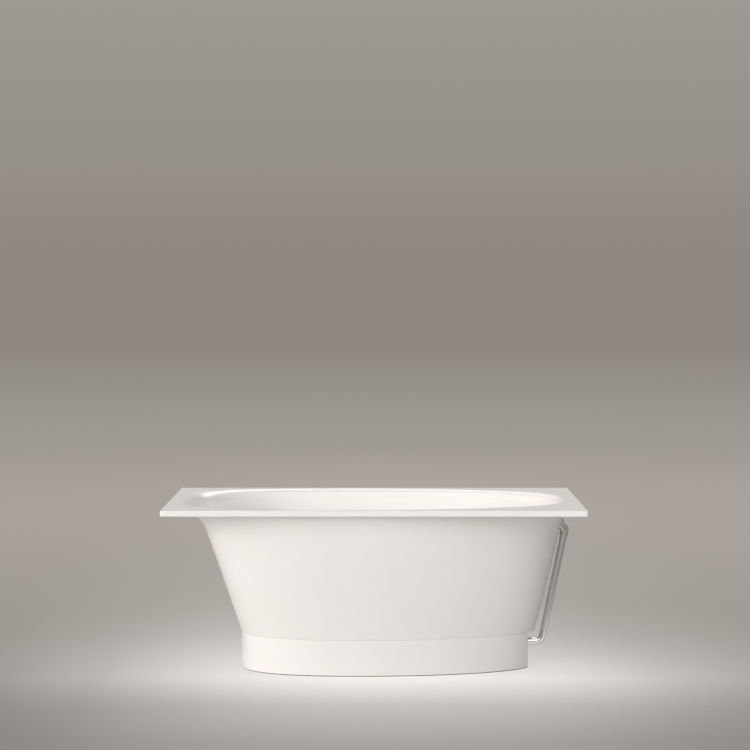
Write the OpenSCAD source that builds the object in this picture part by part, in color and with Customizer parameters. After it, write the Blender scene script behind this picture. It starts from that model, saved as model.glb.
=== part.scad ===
// A freestanding bath: one cast shell with an egg-shaped bowl and a rectangular rim slab, a cast
// plinth cut flat at the drain end, levelling feet, a strainer waste with a trap, and a chrome
// overflow outside the drain end. Millimetres.
// The origin is on the floor under the middle of the rim. +X points to the drain end, +Y to the
// wall behind the bath and +Z up.

/* [Rim] */
// Length of the rim slab, along X
rim_length = 1500; // [1440:5:1700]
// Width of the rim slab, along Y
rim_width = 750; // [730:5:850]
// Height of the rim's top over the floor
bath_h = 615; // [590:5:660]
// Thickness of the rim slab
rim_t = 20; // [16:1:30]
// Radius of the rim slab's corners in plan
rim_corner_r = 6; // [4:1:20]
// Radius of the rim slab's arrises
rim_edge_r = 2.5; // [1:0.5:5]

/* [Bowl] */
// Flat rim left over at the head end, from the slab's end to the bowl
deck_head = 34; // [25:1:60]
// Flat rim left over at the drain end
deck_drain = 53; // [45:1:80]
// Flat rim left over at each side
deck_side = 30; // [25:1:60]
// How far the soft edge rolls out over the rim at the head end
roll_head = 48; // [30:1:60]
// How far the edge rolls out at the drain end
roll_drain = 13; // [8:1:25]
// How far the edge rolls out at each side
roll_side = 17; // [10:1:30]
// Height over which the edge rolls
roll_h = 30; // [25:1:45]
// Thickness of the cast wall, measured level
wall_t = 15; // [12:0.5:18]
// Thickness of the bowl's floor
floor_t = 15; // [12:0.5:18]
// Height of the bowl's floor at the waste, over the ground
bowl_z = 178; // [172:1:200]
// How much higher the bowl's floor is at the head end
floor_rise = 10; // [2:1:16]
// Height of the cove between floor and wall
cove_h = 45; // [30:1:60]
// How far the cove runs in over the floor at the head end
cove_head = 29; // [15:1:40]
// How far the cove runs in at the drain end
cove_drain = 11; // [6:1:25]
// How far the cove runs in at each side
cove_side = 19; // [10:1:35]
// How far the head end flares outwards under the rim
flare_head = 42; // [20:1:50]
// How far the sides flare outwards under the rim
flare_side = 12; // [0:1:25]
// Height over which the walls flare, below the slab
flare_h = 80; // [75:5:240]
// Fillet between the walls and the underside of the slab
root_r = 12; // [5:1:15]

/* [Plinth] */
// Height of the plinth
plinth_h = 129; // [118:1:140]
// Thickness of the plinth's wall
plinth_wall = 22; // [16:1:28]
// Reach of the foot of the shell towards the head end, from the middle of the rim
base_head = 489; // [470:1:540]
// Reach of the foot of the shell towards the drain end
base_drain = 593; // [580:1:610]
// Half the width of the foot of the shell
base_half = 230; // [215:1:250]
// Place of the widest line of the foot
base_wide_x = -35; // [-80:1:0]
// Place of the widest line of the bowl's mouth
mouth_wide_x = -45; // [-90:1:0]
// Distance from the shell's tip back to the flat end of the plinth
plinth_setback = 30; // [22:1:40]
// Thickness of the bead between plinth and shell
joint_t = 1.5; // [1:0.1:3]
// How far the bead lies back from the plinth's face
joint_setback = 3; // [2:0.5:5]
// Depth and height of the step in the plinth's top edge, which makes the seam
seam_step = 1.5; // [1:0.1:3]
// Depth and height of the shadow gap at the ground
toe_step = 3; // [2:0.5:6]
// Radius of the shell's lower edge
foot_edge_r = 4; // [2:0.5:5]
// Width of the shell's lower face
lip_w = 30; // [26:1:36]
// Width of the access opening in the plinth's flat end
access_w = 104; // [80:2:110]
// Height of the access opening
access_h = 108; // [104:1:112]
// Radius of the access opening's upper corners
access_r = 25; // [10:1:35]

/* [Feet] */
// Distance from the foot of the shell, at the head end, in to the first pair of feet
foot_head_in = 159; // [129:5:239]
// Distance from the foot of the shell, at the drain end, in to the second pair of feet
foot_drain_in = 303; // [293:5:363]
// Distance of the feet from the middle line
foot_y = 116; // [95:1:120]
// Outer radius of the foot stud's thread
stud_r = 6; // [5:0.5:8]
// Lead of the foot stud's thread
stud_lead = 1.75; // [1.25:0.25:2]
// Radial clearance of the stud in its insert, nut and cup
stud_play = 0.06; // [0.03:0.01:0.09]
// Height of the stud's upper end over the floor
stud_top_z = 152; // [151:1:154]
// Length of the threaded insert
insert_len = 24; // [21:1:26]
// Outer radius of the threaded insert
insert_r = 9.5; // [9.5:0.5:12]
// Radius of the cast boss round an insert
boss_r = 22; // [18:1:26]
// Distance from the shell's lower face up to the bosses' lower face
boss_rise = 7.5; // [6:0.5:8]
// Height of the lock nut
lock_nut_h = 10; // [8:1:12]
// Size across flats of the lock nut
lock_nut_af = 19; // [19:1:24]
// Radius of the foot cup at the ground
pad_r = 25; // [20:1:30]
// Height of the foot cup with its sole
pad_h = 24; // [18:1:28]
// Thickness of the rubber sole
sole_t = 4; // [3:0.5:6]
// Height of the spanner hexagon on the stud
hexagon_h = 8; // [6:1:12]
// Size across flats of the spanner hexagon
hexagon_af = 17; // [17:1:22]
// Radius of the stud's lower pivot, in the cup
pivot_r = 5; // [4:0.5:5]

/* [Waste] */
// Distance from the foot of the shell, at the drain end, in to the waste
waste_in = 146; // [138:1:163]
// Outer radius of the waste flange
waste_flange_r = 35; // [34:0.5:37]
// Thickness of the waste flange at its edge
waste_flange_t = 1.7; // [1.5:0.1:3]
// Radius of the sunk dish's floor in the flange
waste_dish_r = 22.5; // [21:0.5:22.5]
// How far the dish's wall slopes outwards
waste_dish_slope = 2.5; // [1:0.5:3]
// Depth of the dish
waste_dish_depth = 6; // [4:0.5:9]
// Thickness of the strainer plate
strainer_t = 2.5; // [2:0.5:4]
// Radius of a strainer hole
strainer_hole_r = 4; // [3:0.25:4.5]
// Number of strainer holes
strainer_holes = 5; // [4:1:6]
// Radius of the circle on which the strainer holes lie
strainer_pitch_r = 13; // [12:0.5:15]
// Outer radius of the waste's throat
throat_r = 25.5; // [25.5:0.1:26]
// Radius of the hole through the bowl's floor
waste_hole_r = 26.5; // [26.2:0.1:27]
// Thickness of the ring between flange and bowl
top_gasket_t = 1.5; // [1:0.5:3]
// Thickness of the ring under the bowl
bottom_gasket_t = 3; // [2:0.5:4]
// Height of the flat cast ring under the bowl, round the waste
waste_boss_h = 3; // [2:0.5:5]
// Outer radius of that cast ring
waste_boss_r = 42; // [40:1:48]
// Outer radius of the waste body's flange
body_flange_r = 37.5; // [36:0.5:40]
// Outer radius of the trap's tube
trap_tube_r = 20; // [18:0.5:20]
// Wall of the plastic fittings
fitting_wall = 2.5; // [2:0.5:3]
// Height of the middle of the trap's lowest run
trap_low_z = 24; // [23:1:27]
// Bend radius of the trap
trap_bend_r = 34; // [32:1:36]
// Height of the middle of the trap's outlet
trap_out_z = 110; // [108:1:114]
// Length of the trap's lowest run between its bends
trap_run = 30; // [28:1:50]
// Bend radius of the tail pipe
tail_bend_r = 45; // [36:1:60]
// Length of the tail pipe's level stretch
tail_run = 35; // [30:1:60]
// Height of the tail pipe's end over the ground
tail_end_z = 8; // [5:1:20]

/* [Overflow] */
// Distance from the rim's top down to the overflow
overflow_drop = 90; // [85:1:115]
// Radius of the rosette
rosette_r = 34.5; // [32:0.5:38]
// Height of the rosette's dome
rosette_h = 11; // [8:0.5:14]
// Wall of the rosette
rosette_t = 1.6; // [1.2:0.1:2.5]
// Number of holes round the rosette's hub
rosette_holes = 8; // [6:1:10]
// Radius of a rosette hole
rosette_hole_r = 3.5; // [2.5:0.25:4]
// Radius of the circle on which the rosette's holes lie
rosette_pitch_r = 20; // [18:0.5:22]
// Radius of the hole through the wall
overflow_hole_r = 15; // [13:0.5:15.5]
// Thickness of the rings on both sides of the wall
overflow_gasket_t = 2; // [1:0.5:3]
// Radius of the hood's flange
hood_flange_r = 22; // [21:0.5:26]
// Distance from the wall to the middle of the pipe at the hood
hood_reach = 23.5; // [23:0.5:30]
// Radius of the hood's socket
hood_socket_r = 14; // [13.5:0.5:16]
// Distance along the pipe from the hood's corner to its collar
collar_drop = 35.7; // [34:0.5:50]
// Length of the collar
collar_h = 7.5; // [7:0.5:14]
// How far the collar stands out round the socket
collar_wall = 1.5; // [1:0.25:3]
// Outer radius of the overflow pipe
pipe_r = 12.5; // [10:0.5:12.5]
// Wall of the overflow pipe
pipe_wall = 1; // [0.8:0.1:2]
// Bend radius of the pipe, on its middle line
pipe_bend_r = 28; // [20:1:36]
// Distance from the shell's tip to the pipe's lower corner
pipe_clear = 26; // [20:1:40]
// Height of the pipe's level run over the ground
pipe_run_z = 86; // [80:1:88]

/* [Hidden] */
$fn = 96;

// Places that follow from the outline and the rim
waste_x = base_drain - waste_in;
foot_head_x = foot_head_in - base_head;
foot_drain_x = base_drain - foot_drain_in;
overflow_z = bath_h - overflow_drop;

// The four feet, as places in plan
FEET = [
    [foot_head_x, -foot_y],
    [foot_head_x, foot_y],
    [foot_drain_x, -foot_y],
    [foot_drain_x, foot_y]
];

cast_white = [0.93, 0.92, 0.90];
chrome = [0.80, 0.81, 0.83];
steel = [0.66, 0.67, 0.69];
brass = [0.80, 0.64, 0.32];
black_rubber = [0.09, 0.09, 0.10];
white_plastic = [0.90, 0.90, 0.88];
black_plastic = [0.14, 0.14, 0.15];
bead_white = [0.88, 0.88, 0.86];

// Overlap that lets a cut run clear of a face
cut = 1;
// Smaller overlap, where a cut only has to break a face
skim = 0.01;
// Points round each outline of the shell, a multiple of four
ring_points = 72;
// Points round each outline of the plinth
plinth_points = 120;

// Heights
slab_z = bath_h - rim_t;
seam_z = plinth_h + joint_t;
under_z = bowl_z - floor_t;
boss_z = seam_z + boss_rise;
plinth_end_x = base_drain - plinth_setback;

// Shape of the outlines. Each half of an outline, towards the head and towards the drain, has
// a power along X and one across it: 2 and 2 give an ellipse, larger ones a squarer end.
foot_powers = [2.65, 2.65, 2, 2];
mouth_powers = [2.6, 4.2, 1.68, 3];
// Share by which the drain end bellies out between foot and slab
drain_belly = 0.14;

// An outline is [widest line, head reach, drain reach, half width, then the four powers]
base_line = concat([base_wide_x, base_head, base_drain, base_half], foot_powers);
mouth_line = concat(
    [
        mouth_wide_x,
        rim_length / 2 - deck_head,
        rim_length / 2 - deck_drain,
        rim_width / 2 - deck_side
    ],
    mouth_powers
);
slab_line = mouth_line - reach(roll_head - wall_t, roll_drain - wall_t, roll_side - wall_t);

// Reaches to add to an outline
function reach(head, drain, side) = [0, head, drain, side, 0, 0, 0, 0];
function all_round(d) = reach(d, d, d);
function between(a, b, f) = a + (b - a) * f;
// Quadratic curve from a to c that leaves a and reaches c in the direction of b
function bend_curve(a, b, c, f) = a * pow(1 - f, 2) + b * 2 * f * (1 - f) + c * f * f;

// One point of an outline: the two halves meet at the widest line, where both run along X
function egg_point(e, t) =
    let (
        c = cos(t),
        s = sin(t),
        drain = c >= 0,
        along = drain ? (e[2] - e[0]) * pow(c, 2 / e[6]) : -(e[1] + e[0]) * pow(-c, 2 / e[4]),
        across = e[3] * pow(abs(s), 2 / (drain ? e[7] : e[5]))
    )
    [e[0] + along, sign(s) * across];
function egg(e, n) = [for (i = [0:n - 1]) egg_point(e, 360 * i / n)];

// Outline of the shell's outside at height z: straight walls that lean out, a flare under the
// slab at the head end and the sides, and a slight belly at the drain end
function body_at(z) =
    let (
        f = (z - seam_z) / (slab_z - seam_z),
        flare = pow(max(0, (z - slab_z + flare_h) / flare_h), 2),
        straight = between(base_line, slab_line - reach(flare_head, 0, flare_side), f),
        belly = (slab_line[2] - base_line[2]) * drain_belly * f * (1 - f)
    )
    straight + reach(flare_head * flare, belly, flare_side * flare);
function bowl_at(z) = body_at(z) - all_round(wall_t);

// Height of the bowl's floor at x: level at the waste, and rising towards the head end
function floor_at(x) =
    bowl_z + floor_rise * pow((min(x, waste_x) - waste_x) / (waste_x + base_head), 2);

// Corner of the rim slab as a ring of as many points as an outline, in step with it. Each
// straight stretch takes this share of the points, and the corner's arc takes the rest.
side_share = 7 / 18;
function slab_quarter(half_l, half_w, r, n) =
    let (side = floor(n * side_share), arc = n - 2 * side)
    concat(
        [for (i = [0:side - 1]) [half_l, (half_w - r) * i / side]],
        [
            for (i = [0:arc])
                let (a = 90 * i / arc)
                [half_l - r + r * cos(a), half_w - r + r * sin(a)]
        ],
        [for (i = [1:side - 1]) [(half_l - r) * (1 - i / side), half_w]]
    );
function slab_ring(inset) =
    let (
        q = slab_quarter(
            rim_length / 2 - inset,
            rim_width / 2 - inset,
            max(0.5, rim_corner_r - inset),
            ring_points / 4
        ),
        n = len(q)
    )
    concat(
        q,
        [[0, rim_width / 2 - inset]],
        [for (i = [1:n - 1]) [-q[n - i][0], q[n - i][1]]],
        [[-q[0][0], 0]],
        [for (i = [1:n - 1]) [-q[i][0], -q[i][1]]],
        [[0, inset - rim_width / 2]],
        [for (i = [1:n - 1]) [q[n - i][0], -q[n - i][1]]]
    );

function lift(points, z) = [for (p = points) [p[0], p[1], z]];
function ring(e, z) = lift(egg(e, ring_points), z);
// A ring that follows the rise of the bowl's floor by the share f
function floor_ring(e, z, f) =
    [for (p = egg(e, ring_points)) [p[0], p[1], z + f * (floor_at(p[0]) - bowl_z)]];

// The cast shell as rings, from the bowl's floor up its wall, over the rim and down outside
cove_top_z = bowl_z + cove_h;
roll_z = bath_h - roll_h;
cove_steps = 4;
bowl_steps = 9;
roll_steps = 5;
edge_steps = 2;
root_steps = 3;
body_steps = 12;
// Power that crowds the rings towards the rim, where the walls flare
crowd = 1.5;
cove_line = bowl_at(bowl_z) - reach(cove_head, cove_drain, cove_side);
cove_rings = [
    for (i = [cove_steps:-1:1])
        let (f = i / cove_steps, z = bowl_z + cove_h * pow(1 - f, 2))
        floor_ring(bend_curve(bowl_at(cove_top_z), bowl_at(bowl_z), cove_line, f), z, f)
];
bowl_rings = [
    for (i = [0:bowl_steps])
        let (z = between(roll_z, cove_top_z, pow(1 - i / bowl_steps, crowd)))
        ring(bowl_at(z), z)
];
// The roll ends in a soft crease: its foot stands between upright, 0, and the wall's lean, 1
roll_lean = 0.4;
roll_rings = [
    for (i = [1:roll_steps])
        let (
            f = i / roll_steps,
            z = bath_h - roll_h * pow(1 - f, 2),
            crease = bowl_at(roll_z),
            bend = between(crease, bowl_at(bath_h), roll_lean)
        )
        ring(bend_curve(crease, bend, mouth_line, f), z)
];
slab_rings = concat(
    [
        for (i = [0:edge_steps])
            let (a = 90 * i / edge_steps)
            lift(slab_ring(rim_edge_r * (1 - sin(a))), bath_h - rim_edge_r * (1 - cos(a)))
    ],
    [
        for (i = [0:edge_steps])
            let (a = 90 * i / edge_steps)
            lift(slab_ring(rim_edge_r * (1 - cos(a))), slab_z + rim_edge_r * (1 - sin(a)))
    ]
);
root_rings = [
    for (i = [0:root_steps])
        let (
            f = i / root_steps,
            z = slab_z - root_r * f * f,
            e = bend_curve(
                body_at(slab_z) + all_round(root_r), body_at(slab_z), body_at(slab_z - root_r), f
            )
        )
        ring(e, z)
];
body_rings = [
    for (i = [1:body_steps])
        let (z = between(slab_z - root_r, seam_z + foot_edge_r, pow(i / body_steps, crowd)))
        ring(body_at(z), z)
];
foot_rings = [
    for (f = [0.5, 1])
        let (
            z = seam_z + foot_edge_r * pow(1 - f, 2),
            e = bend_curve(
                body_at(seam_z + foot_edge_r), base_line, base_line - all_round(foot_edge_r), f
            )
        )
        ring(e, z)
];
// The recess under the bowl, which ends over the plinth's flat end wall
recess_line = base_line - reach(lip_w, base_drain - plinth_end_x + plinth_wall, lip_w);
recess_draft = 3;
recess_fillet = 10;
recess_rings = [
    ring(recess_line, seam_z),
    floor_ring(recess_line - all_round(recess_draft), under_z - recess_fillet, 1),
    floor_ring(recess_line - all_round(recess_draft * 2), under_z - recess_draft, 1),
    floor_ring(recess_line - all_round(recess_draft + recess_fillet), under_z, 1)
];

// Triangles between each ring and the next. Where the rings go round, the last meets the first.
function ring_faces(rings, goes_round) =
    let (n = len(rings[0]), m = len(rings))
    [
        for (j = [0:m - (goes_round ? 1 : 2)], i = [0:n - 1])
            let (
                a = j * n + i,
                b = j * n + (i + 1) % n,
                c = (j + 1) % m * n + (i + 1) % n,
                d = (j + 1) % m * n + i
            )
            each [[a, b, c], [a, c, d]]
    ];

// A closed solid from rings of equal length whose last and first rings are closed by strips
// that run straight across, from each point to the one that mirrors it
module shell_of_rings(rings) {
    n = len(rings[0]);
    last = (len(rings) - 1) * n;
    sides = ring_faces(rings, false);
    first_cap = [
        for (i = [0:n / 2 - 1])
            i == 0 ? [n - 1, 1, 0]
                : i == n / 2 - 1 ? [n / 2 + 1, n / 2, i]
                : [n - i, n - i - 1, i + 1, i]
    ];
    last_cap = [
        for (i = [0:n / 2 - 1])
            i == 0 ? [last, last + 1, last + n - 1]
                : i == n / 2 - 1 ? [last + i, last + n / 2, last + n / 2 + 1]
                : [last + i, last + i + 1, last + n - i - 1, last + n - i]
    ];
    polyhedron(points = [for (r = rings, p = r) p], faces = concat(sides, first_cap, last_cap));
}

// A ring with a bore, standing on z = 0
module washer(outer, inner, h) {
    difference() {
        cylinder(r = outer, h = h);
        translate([0, 0, -cut]) cylinder(r = inner, h = h + 2 * cut);
    }
}
// A quarter bend or less of a bar, in the XY plane: it starts at [bend, 0] and turns by a
module bar_bend(bend, r, a) {
    rotate_extrude(angle = a) translate([bend, 0]) circle(r = r);
}
// A hexagonal bar of a size across flats
module hexagon(af, h) {
    cylinder(r = af / sqrt(3), h = h, $fn = 6);
}
// Ribs for the hand round a ring nut
grip_r = 2;
grip_count = 12;
module grips(r, h) {
    for (i = [0:grip_count - 1]) {
        rotate([0, 0, 360 * i / grip_count]) translate([r, 0, 0]) cylinder(r = grip_r, h = h, $fn = 24);
    }
}

module bath_shell() {
    color(cast_white)
    difference() {
        union() {
            shell_of_rings(
                concat(
                    cove_rings, bowl_rings, roll_rings, slab_rings,
                    root_rings, body_rings, foot_rings, recess_rings
                )
            );
            for (p = FEET) {
                translate([p[0], p[1], boss_z])
                    cylinder(r = boss_r, h = under_z + floor_t / 2 - boss_z);
            }
            translate([waste_x, 0, under_z - waste_boss_h])
                cylinder(r = waste_boss_r, h = waste_boss_h + floor_t / 2);
        }
        for (p = FEET) {
            translate([p[0], p[1], boss_z - cut]) cylinder(r = insert_r, h = insert_len + cut);
        }
        translate([waste_x, 0, under_z - waste_boss_h - cut])
            cylinder(r = waste_hole_r, h = floor_t + waste_boss_h + 2 * cut);
        translate([waste_x, 0, waste_seat_z]) cylinder(r = waste_seat_r, h = floor_t);
        at_overflow() {
            translate([0, 0, -3 * wall_t]) cylinder(r = overflow_hole_r, h = 6 * wall_t);
            cylinder(r = hood_flange_r + seat_play, h = wall_t);
            translate([0, 0, -inner_seat - wall_t])
                cylinder(r = rosette_r + seat_play, h = wall_t);
        }
    }
}

// Seats that are cut flat in the shell: the waste's in the floor, the overflow's in the wall
seat_play = 0.6;
seat_depth = 0.7;
waste_seat_r = waste_flange_r + seat_play;
waste_seat_z = bowl_z - waste_flange_t - top_gasket_t;
slope_span = 20;
wall_slope = (body_at(overflow_z + slope_span)[2] - body_at(overflow_z - slope_span)[2])
    / (2 * slope_span);
wall_lean = atan(wall_slope);
overflow_x = body_at(overflow_z)[2] - seat_depth;
inner_seat = wall_t * cos(wall_lean) - 2 * seat_depth;
// Frame on the overflow's outer seat: +Z points out of the bath, square to the wall
module at_overflow() {
    translate([overflow_x, 0, overflow_z]) rotate([0, 90 + wall_lean, 0]) children();
}
module at_inner_seat() {
    at_overflow() translate([0, 0, -inner_seat]) rotate([180, 0, 0]) children();
}

module plinth_outline(inset) {
    intersection() {
        polygon(egg(base_line - all_round(inset), plinth_points));
        translate([-rim_length, -rim_width])
            square([rim_length + plinth_end_x - inset, 2 * rim_width]);
    }
}
module plinth_layer(z, h, inset) {
    translate([0, 0, z]) linear_extrude(height = h) plinth_outline(inset);
}
module plinth() {
    color(cast_white)
    difference() {
        union() {
            plinth_layer(0, toe_step, toe_step);
            plinth_layer(toe_step, plinth_h - toe_step - seam_step, 0);
            plinth_layer(plinth_h - seam_step, seam_step, seam_step);
        }
        plinth_layer(-cut, plinth_h + 2 * cut, plinth_wall);
        translate([plinth_end_x - plinth_wall - cut, 0, -cut])
            rotate([90, 0, 90])
            linear_extrude(height = plinth_wall + 2 * cut)
            access_outline();
    }
}
// The access opening: upright sides and rounded upper corners
module access_outline() {
    translate([-access_w / 2, 0]) square([access_w, access_h - access_r + cut]);
    translate([access_r - access_w / 2, 0])
        square([access_w - 2 * access_r, access_h + cut]);
    for (side = [-1, 1]) {
        translate([side * (access_w / 2 - access_r), access_h - access_r + cut])
            circle(r = access_r);
    }
}

bead_w = plinth_wall - 2 * joint_setback;
module joint_seal() {
    color(bead_white)
    difference() {
        plinth_layer(plinth_h, joint_t, joint_setback + seam_step);
        plinth_layer(plinth_h - cut, joint_t + 2 * cut, joint_setback + seam_step + bead_w);
    }
}

module foot_inserts() {
    color(brass)
    for (p = FEET) {
        translate([p[0], p[1], boss_z]) washer(insert_r, stud_r + stud_play, insert_len);
    }
}
module foot_lock_nuts() {
    color(steel)
    for (p = FEET) {
        translate([p[0], p[1], boss_z - lock_nut_h])
        difference() {
            hexagon(lock_nut_af, lock_nut_h);
            translate([0, 0, -cut]) cylinder(r = stud_r + stud_play, h = lock_nut_h + 2 * cut);
        }
    }
}
// The stud stands in the cup on its pivot: hexagon over it, thread up into the insert
pivot_len = 12;
hexagon_gap = 0.2;
hexagon_top_z = pad_h + hexagon_gap + hexagon_h;
// Depth of the stud's thread, which is also the chamfer at its tip
thread_depth = 0.61 * stud_lead;
module foot_stud(p) {
    color(steel)
    translate([p[0], p[1], 0]) {
        translate([0, 0, pad_h - pivot_len]) cylinder(r = pivot_r, h = pivot_len + hexagon_gap + cut);
        translate([0, 0, pad_h + hexagon_gap]) hexagon(hexagon_af, hexagon_h);
        translate([0, 0, hexagon_top_z - cut])
            cylinder(r = stud_r, h = stud_top_z - thread_depth - hexagon_top_z + cut);
        translate([0, 0, stud_top_z - thread_depth])
            cylinder(r1 = stud_r, r2 = stud_r - thread_depth, h = thread_depth);
    }
}
// The cup: a wide foot, a cone and a hub with the pivot's blind bore
hub_r = 10;
pad_edge_h = 4;
pad_cone_in = 3;
module foot_pad(p) {
    color(black_plastic)
    translate([p[0], p[1], 0])
    difference() {
        union() {
            translate([0, 0, sole_t]) cylinder(r = pad_r, h = pad_edge_h);
            translate([0, 0, sole_t]) cylinder(r = hub_r, h = pad_h - sole_t);
            translate([0, 0, sole_t + pad_edge_h])
                cylinder(r1 = pad_r - pad_cone_in, r2 = hub_r, h = pad_h - sole_t - 2 * pad_edge_h);
        }
        translate([0, 0, pad_h - pivot_len - hexagon_gap])
            cylinder(r = pivot_r + stud_play, h = pivot_len + hexagon_gap + cut);
    }
}
// The sole has two shallow grooves in its tread
groove_insets = [5, 11];
groove_w = 2;
groove_d = 1;
module foot_sole(p) {
    color(black_rubber)
    translate([p[0], p[1], 0])
    difference() {
        cylinder(r = pad_r, h = sole_t);
        for (inset = groove_insets) {
            translate([0, 0, -cut])
                washer(pad_r - inset, pad_r - inset - groove_w, cut + groove_d);
        }
    }
}

// The waste flange is turned: a crowned rim, a slope down to the dish, the strainer and throat
flange_z = waste_seat_z + top_gasket_t;
flange_crown = 0.8;
strainer_z = bowl_z - waste_dish_depth - strainer_t;
throat_wall = 1.5;
throat_past = 3;
throat_end_z = under_z - waste_boss_h - bottom_gasket_t - throat_past;
waste_bush_r = 5;
waste_screw_r = 3;
bush_play = 0.05;
// Direction of the first strainer hole, from the head end's side of the waste
strainer_turn = 61.5;
flange_shoulder = 2;
module waste_flange() {
    color(chrome)
    translate([waste_x, 0, 0])
    difference() {
        rotate_extrude()
            polygon([
                [0, strainer_z],
                [throat_r - throat_wall, strainer_z],
                [throat_r - throat_wall, throat_end_z],
                [throat_r, throat_end_z],
                [throat_r, flange_z],
                [waste_flange_r, flange_z],
                [waste_flange_r, flange_z + waste_flange_t / 2],
                [waste_flange_r - flange_shoulder, bowl_z + flange_crown],
                [waste_dish_r + waste_dish_slope, bowl_z + flange_crown],
                [waste_dish_r, bowl_z - waste_dish_depth],
                [0, bowl_z - waste_dish_depth]
            ]);
        for (i = [0:strainer_holes - 1]) {
            rotate([0, 0, strainer_turn + 360 * i / strainer_holes])
                translate([strainer_pitch_r, 0, strainer_z - cut])
                cylinder(r = strainer_hole_r, h = strainer_t + 2 * cut);
        }
        translate([0, 0, strainer_z - cut])
            cylinder(r = waste_screw_r + bush_play, h = strainer_t + 2 * cut);
    }
}
// A screw with a low domed head that sits on z = 0, and its shank below
module dome_screw(head_r, head_h, shank_r, len) {
    rotate_extrude()
        polygon(concat(
            [[0, -len], [shank_r, -len], [shank_r, 0], [head_r, 0], [head_r, head_h * 0.35]],
            [for (a = [30:15:90]) [head_r * cos(a), head_h * (0.35 + 0.65 * sin(a))]]
        ));
}
waste_head_r = 6.5;
waste_head_h = 3.2;
screw_past = 2;
slot_w = 1.6;
slot_d = 1.2;
module waste_screw() {
    color(steel)
    translate([waste_x, 0, bowl_z - waste_dish_depth])
    difference() {
        dome_screw(
            waste_head_r, waste_head_h, waste_screw_r,
            bowl_z - waste_dish_depth - spider_z + screw_past
        );
        translate([-waste_head_r - cut, -slot_w / 2, waste_head_h - slot_d])
            cube([2 * waste_head_r + 2 * cut, slot_w, slot_d + cut]);
    }
}
// How far the flat rings lie inside their flanges, and clear of what goes through them
gasket_in = 1;
gasket_play = 0.5;
module waste_top_gasket() {
    color(black_rubber)
    translate([waste_x, 0, waste_seat_z])
        washer(waste_flange_r - gasket_in, throat_r + gasket_play, top_gasket_t);
}
boss_face_z = under_z - waste_boss_h;
module waste_bottom_gasket() {
    color(black_rubber)
    translate([waste_x, 0, boss_face_z - bottom_gasket_t])
        washer(body_flange_r - gasket_in, waste_hole_r + gasket_play, bottom_gasket_t);
}

// The waste body: flange, cup with a three-armed spider, a cone and the tail with its collar
body_top_z = boss_face_z - bottom_gasket_t;
body_flange_t = 5;
cup_wall = 3;
cup_play = 0.5;
cup_r = throat_r + cup_play + cup_wall;
cup_depth = 19;
tail_r = trap_tube_r + 2;
cone_h = 10;
tail_collar_r = tail_r + 3;
tail_collar_t = 3;
union_z = 117.5;
spider_z = body_top_z - cup_depth;
spider_h = 12;
spider_wall = 2.5;
spider_arm_t = 3;
spider_arm_drop = 2;
module waste_body() {
    color(white_plastic)
    translate([waste_x, 0, 0])
    union() {
        difference() {
            union() {
                translate([0, 0, body_top_z - body_flange_t])
                    cylinder(r = body_flange_r, h = body_flange_t);
                translate([0, 0, body_top_z - cup_depth]) cylinder(r = cup_r, h = cup_depth);
                translate([0, 0, body_top_z - cup_depth - cone_h])
                    cylinder(r1 = tail_r, r2 = cup_r, h = cone_h);
                translate([0, 0, union_z])
                    cylinder(r = tail_r, h = body_top_z - cup_depth - union_z);
                translate([0, 0, union_z]) cylinder(r = tail_collar_r, h = tail_collar_t);
            }
            translate([0, 0, body_top_z - cup_depth])
                cylinder(r = cup_r - cup_wall, h = cup_depth + cut);
            translate([0, 0, body_top_z - cup_depth - cone_h])
                cylinder(r1 = tail_r - fitting_wall, r2 = cup_r - cup_wall, h = cone_h + skim);
            translate([0, 0, union_z - cut])
                cylinder(r = tail_r - fitting_wall, h = body_top_z - cup_depth - union_z);
        }
        spider();
    }
}
module spider() {
    translate([0, 0, spider_z])
    difference() {
        union() {
            cylinder(r = waste_bush_r + spider_wall, h = spider_h);
            for (a = [30, 150, 270]) {
                rotate([0, 0, a]) translate([0, -spider_arm_t / 2, 0])
                    cube([cup_r - cup_wall / 2, spider_arm_t, spider_h - spider_arm_drop]);
            }
        }
        translate([0, 0, -cut]) cylinder(r = waste_bush_r, h = spider_h + 2 * cut);
    }
}
module waste_bush() {
    color(brass)
    translate([waste_x, 0, spider_z]) washer(waste_bush_r, waste_screw_r + bush_play, spider_h);
}

// The trap hangs from the waste body by a union nut. Its side inlet takes the overflow pipe,
// and the water stands in its two upright legs.
washer_t = 1.5;
// How far the washer lies back from the trap's bore, so that it can't be squeezed into it
washer_back = 1.5;
trap_top_z = union_z - washer_t;
trap_thread_r = tail_collar_r + 1;
trap_thread_h = 12;
thread_shown = 1;
union_nut_wall = 4;
nut_lip = 3.5;
trap_in_r = trap_tube_r - fitting_wall;
out_leg_x = waste_x - 2 * trap_bend_r - trap_run;
out_start_x = out_leg_x - trap_bend_r;
socket_r = trap_tube_r + 3;
socket_len = 24;
socket_end_x = out_start_x - socket_len;
tail_stop = 6;
tail_gap = 2;
inlet_wall = 4.5;
inlet_r = pipe_r + inlet_wall;
inlet_len = 48;
inlet_end_x = waste_x + inlet_len;
pipe_end_gap = 4;
pipe_end_x = waste_x + trap_tube_r + pipe_end_gap;
plug_x = waste_x - trap_bend_r - trap_run / 2;
plug_boss_r = 15;
plug_boss_y = trap_tube_r + 12;
plug_bore_r = 12;
union_cover = trap_thread_h - thread_shown + washer_t + tail_collar_t;
nut_play = 0.2;
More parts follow.
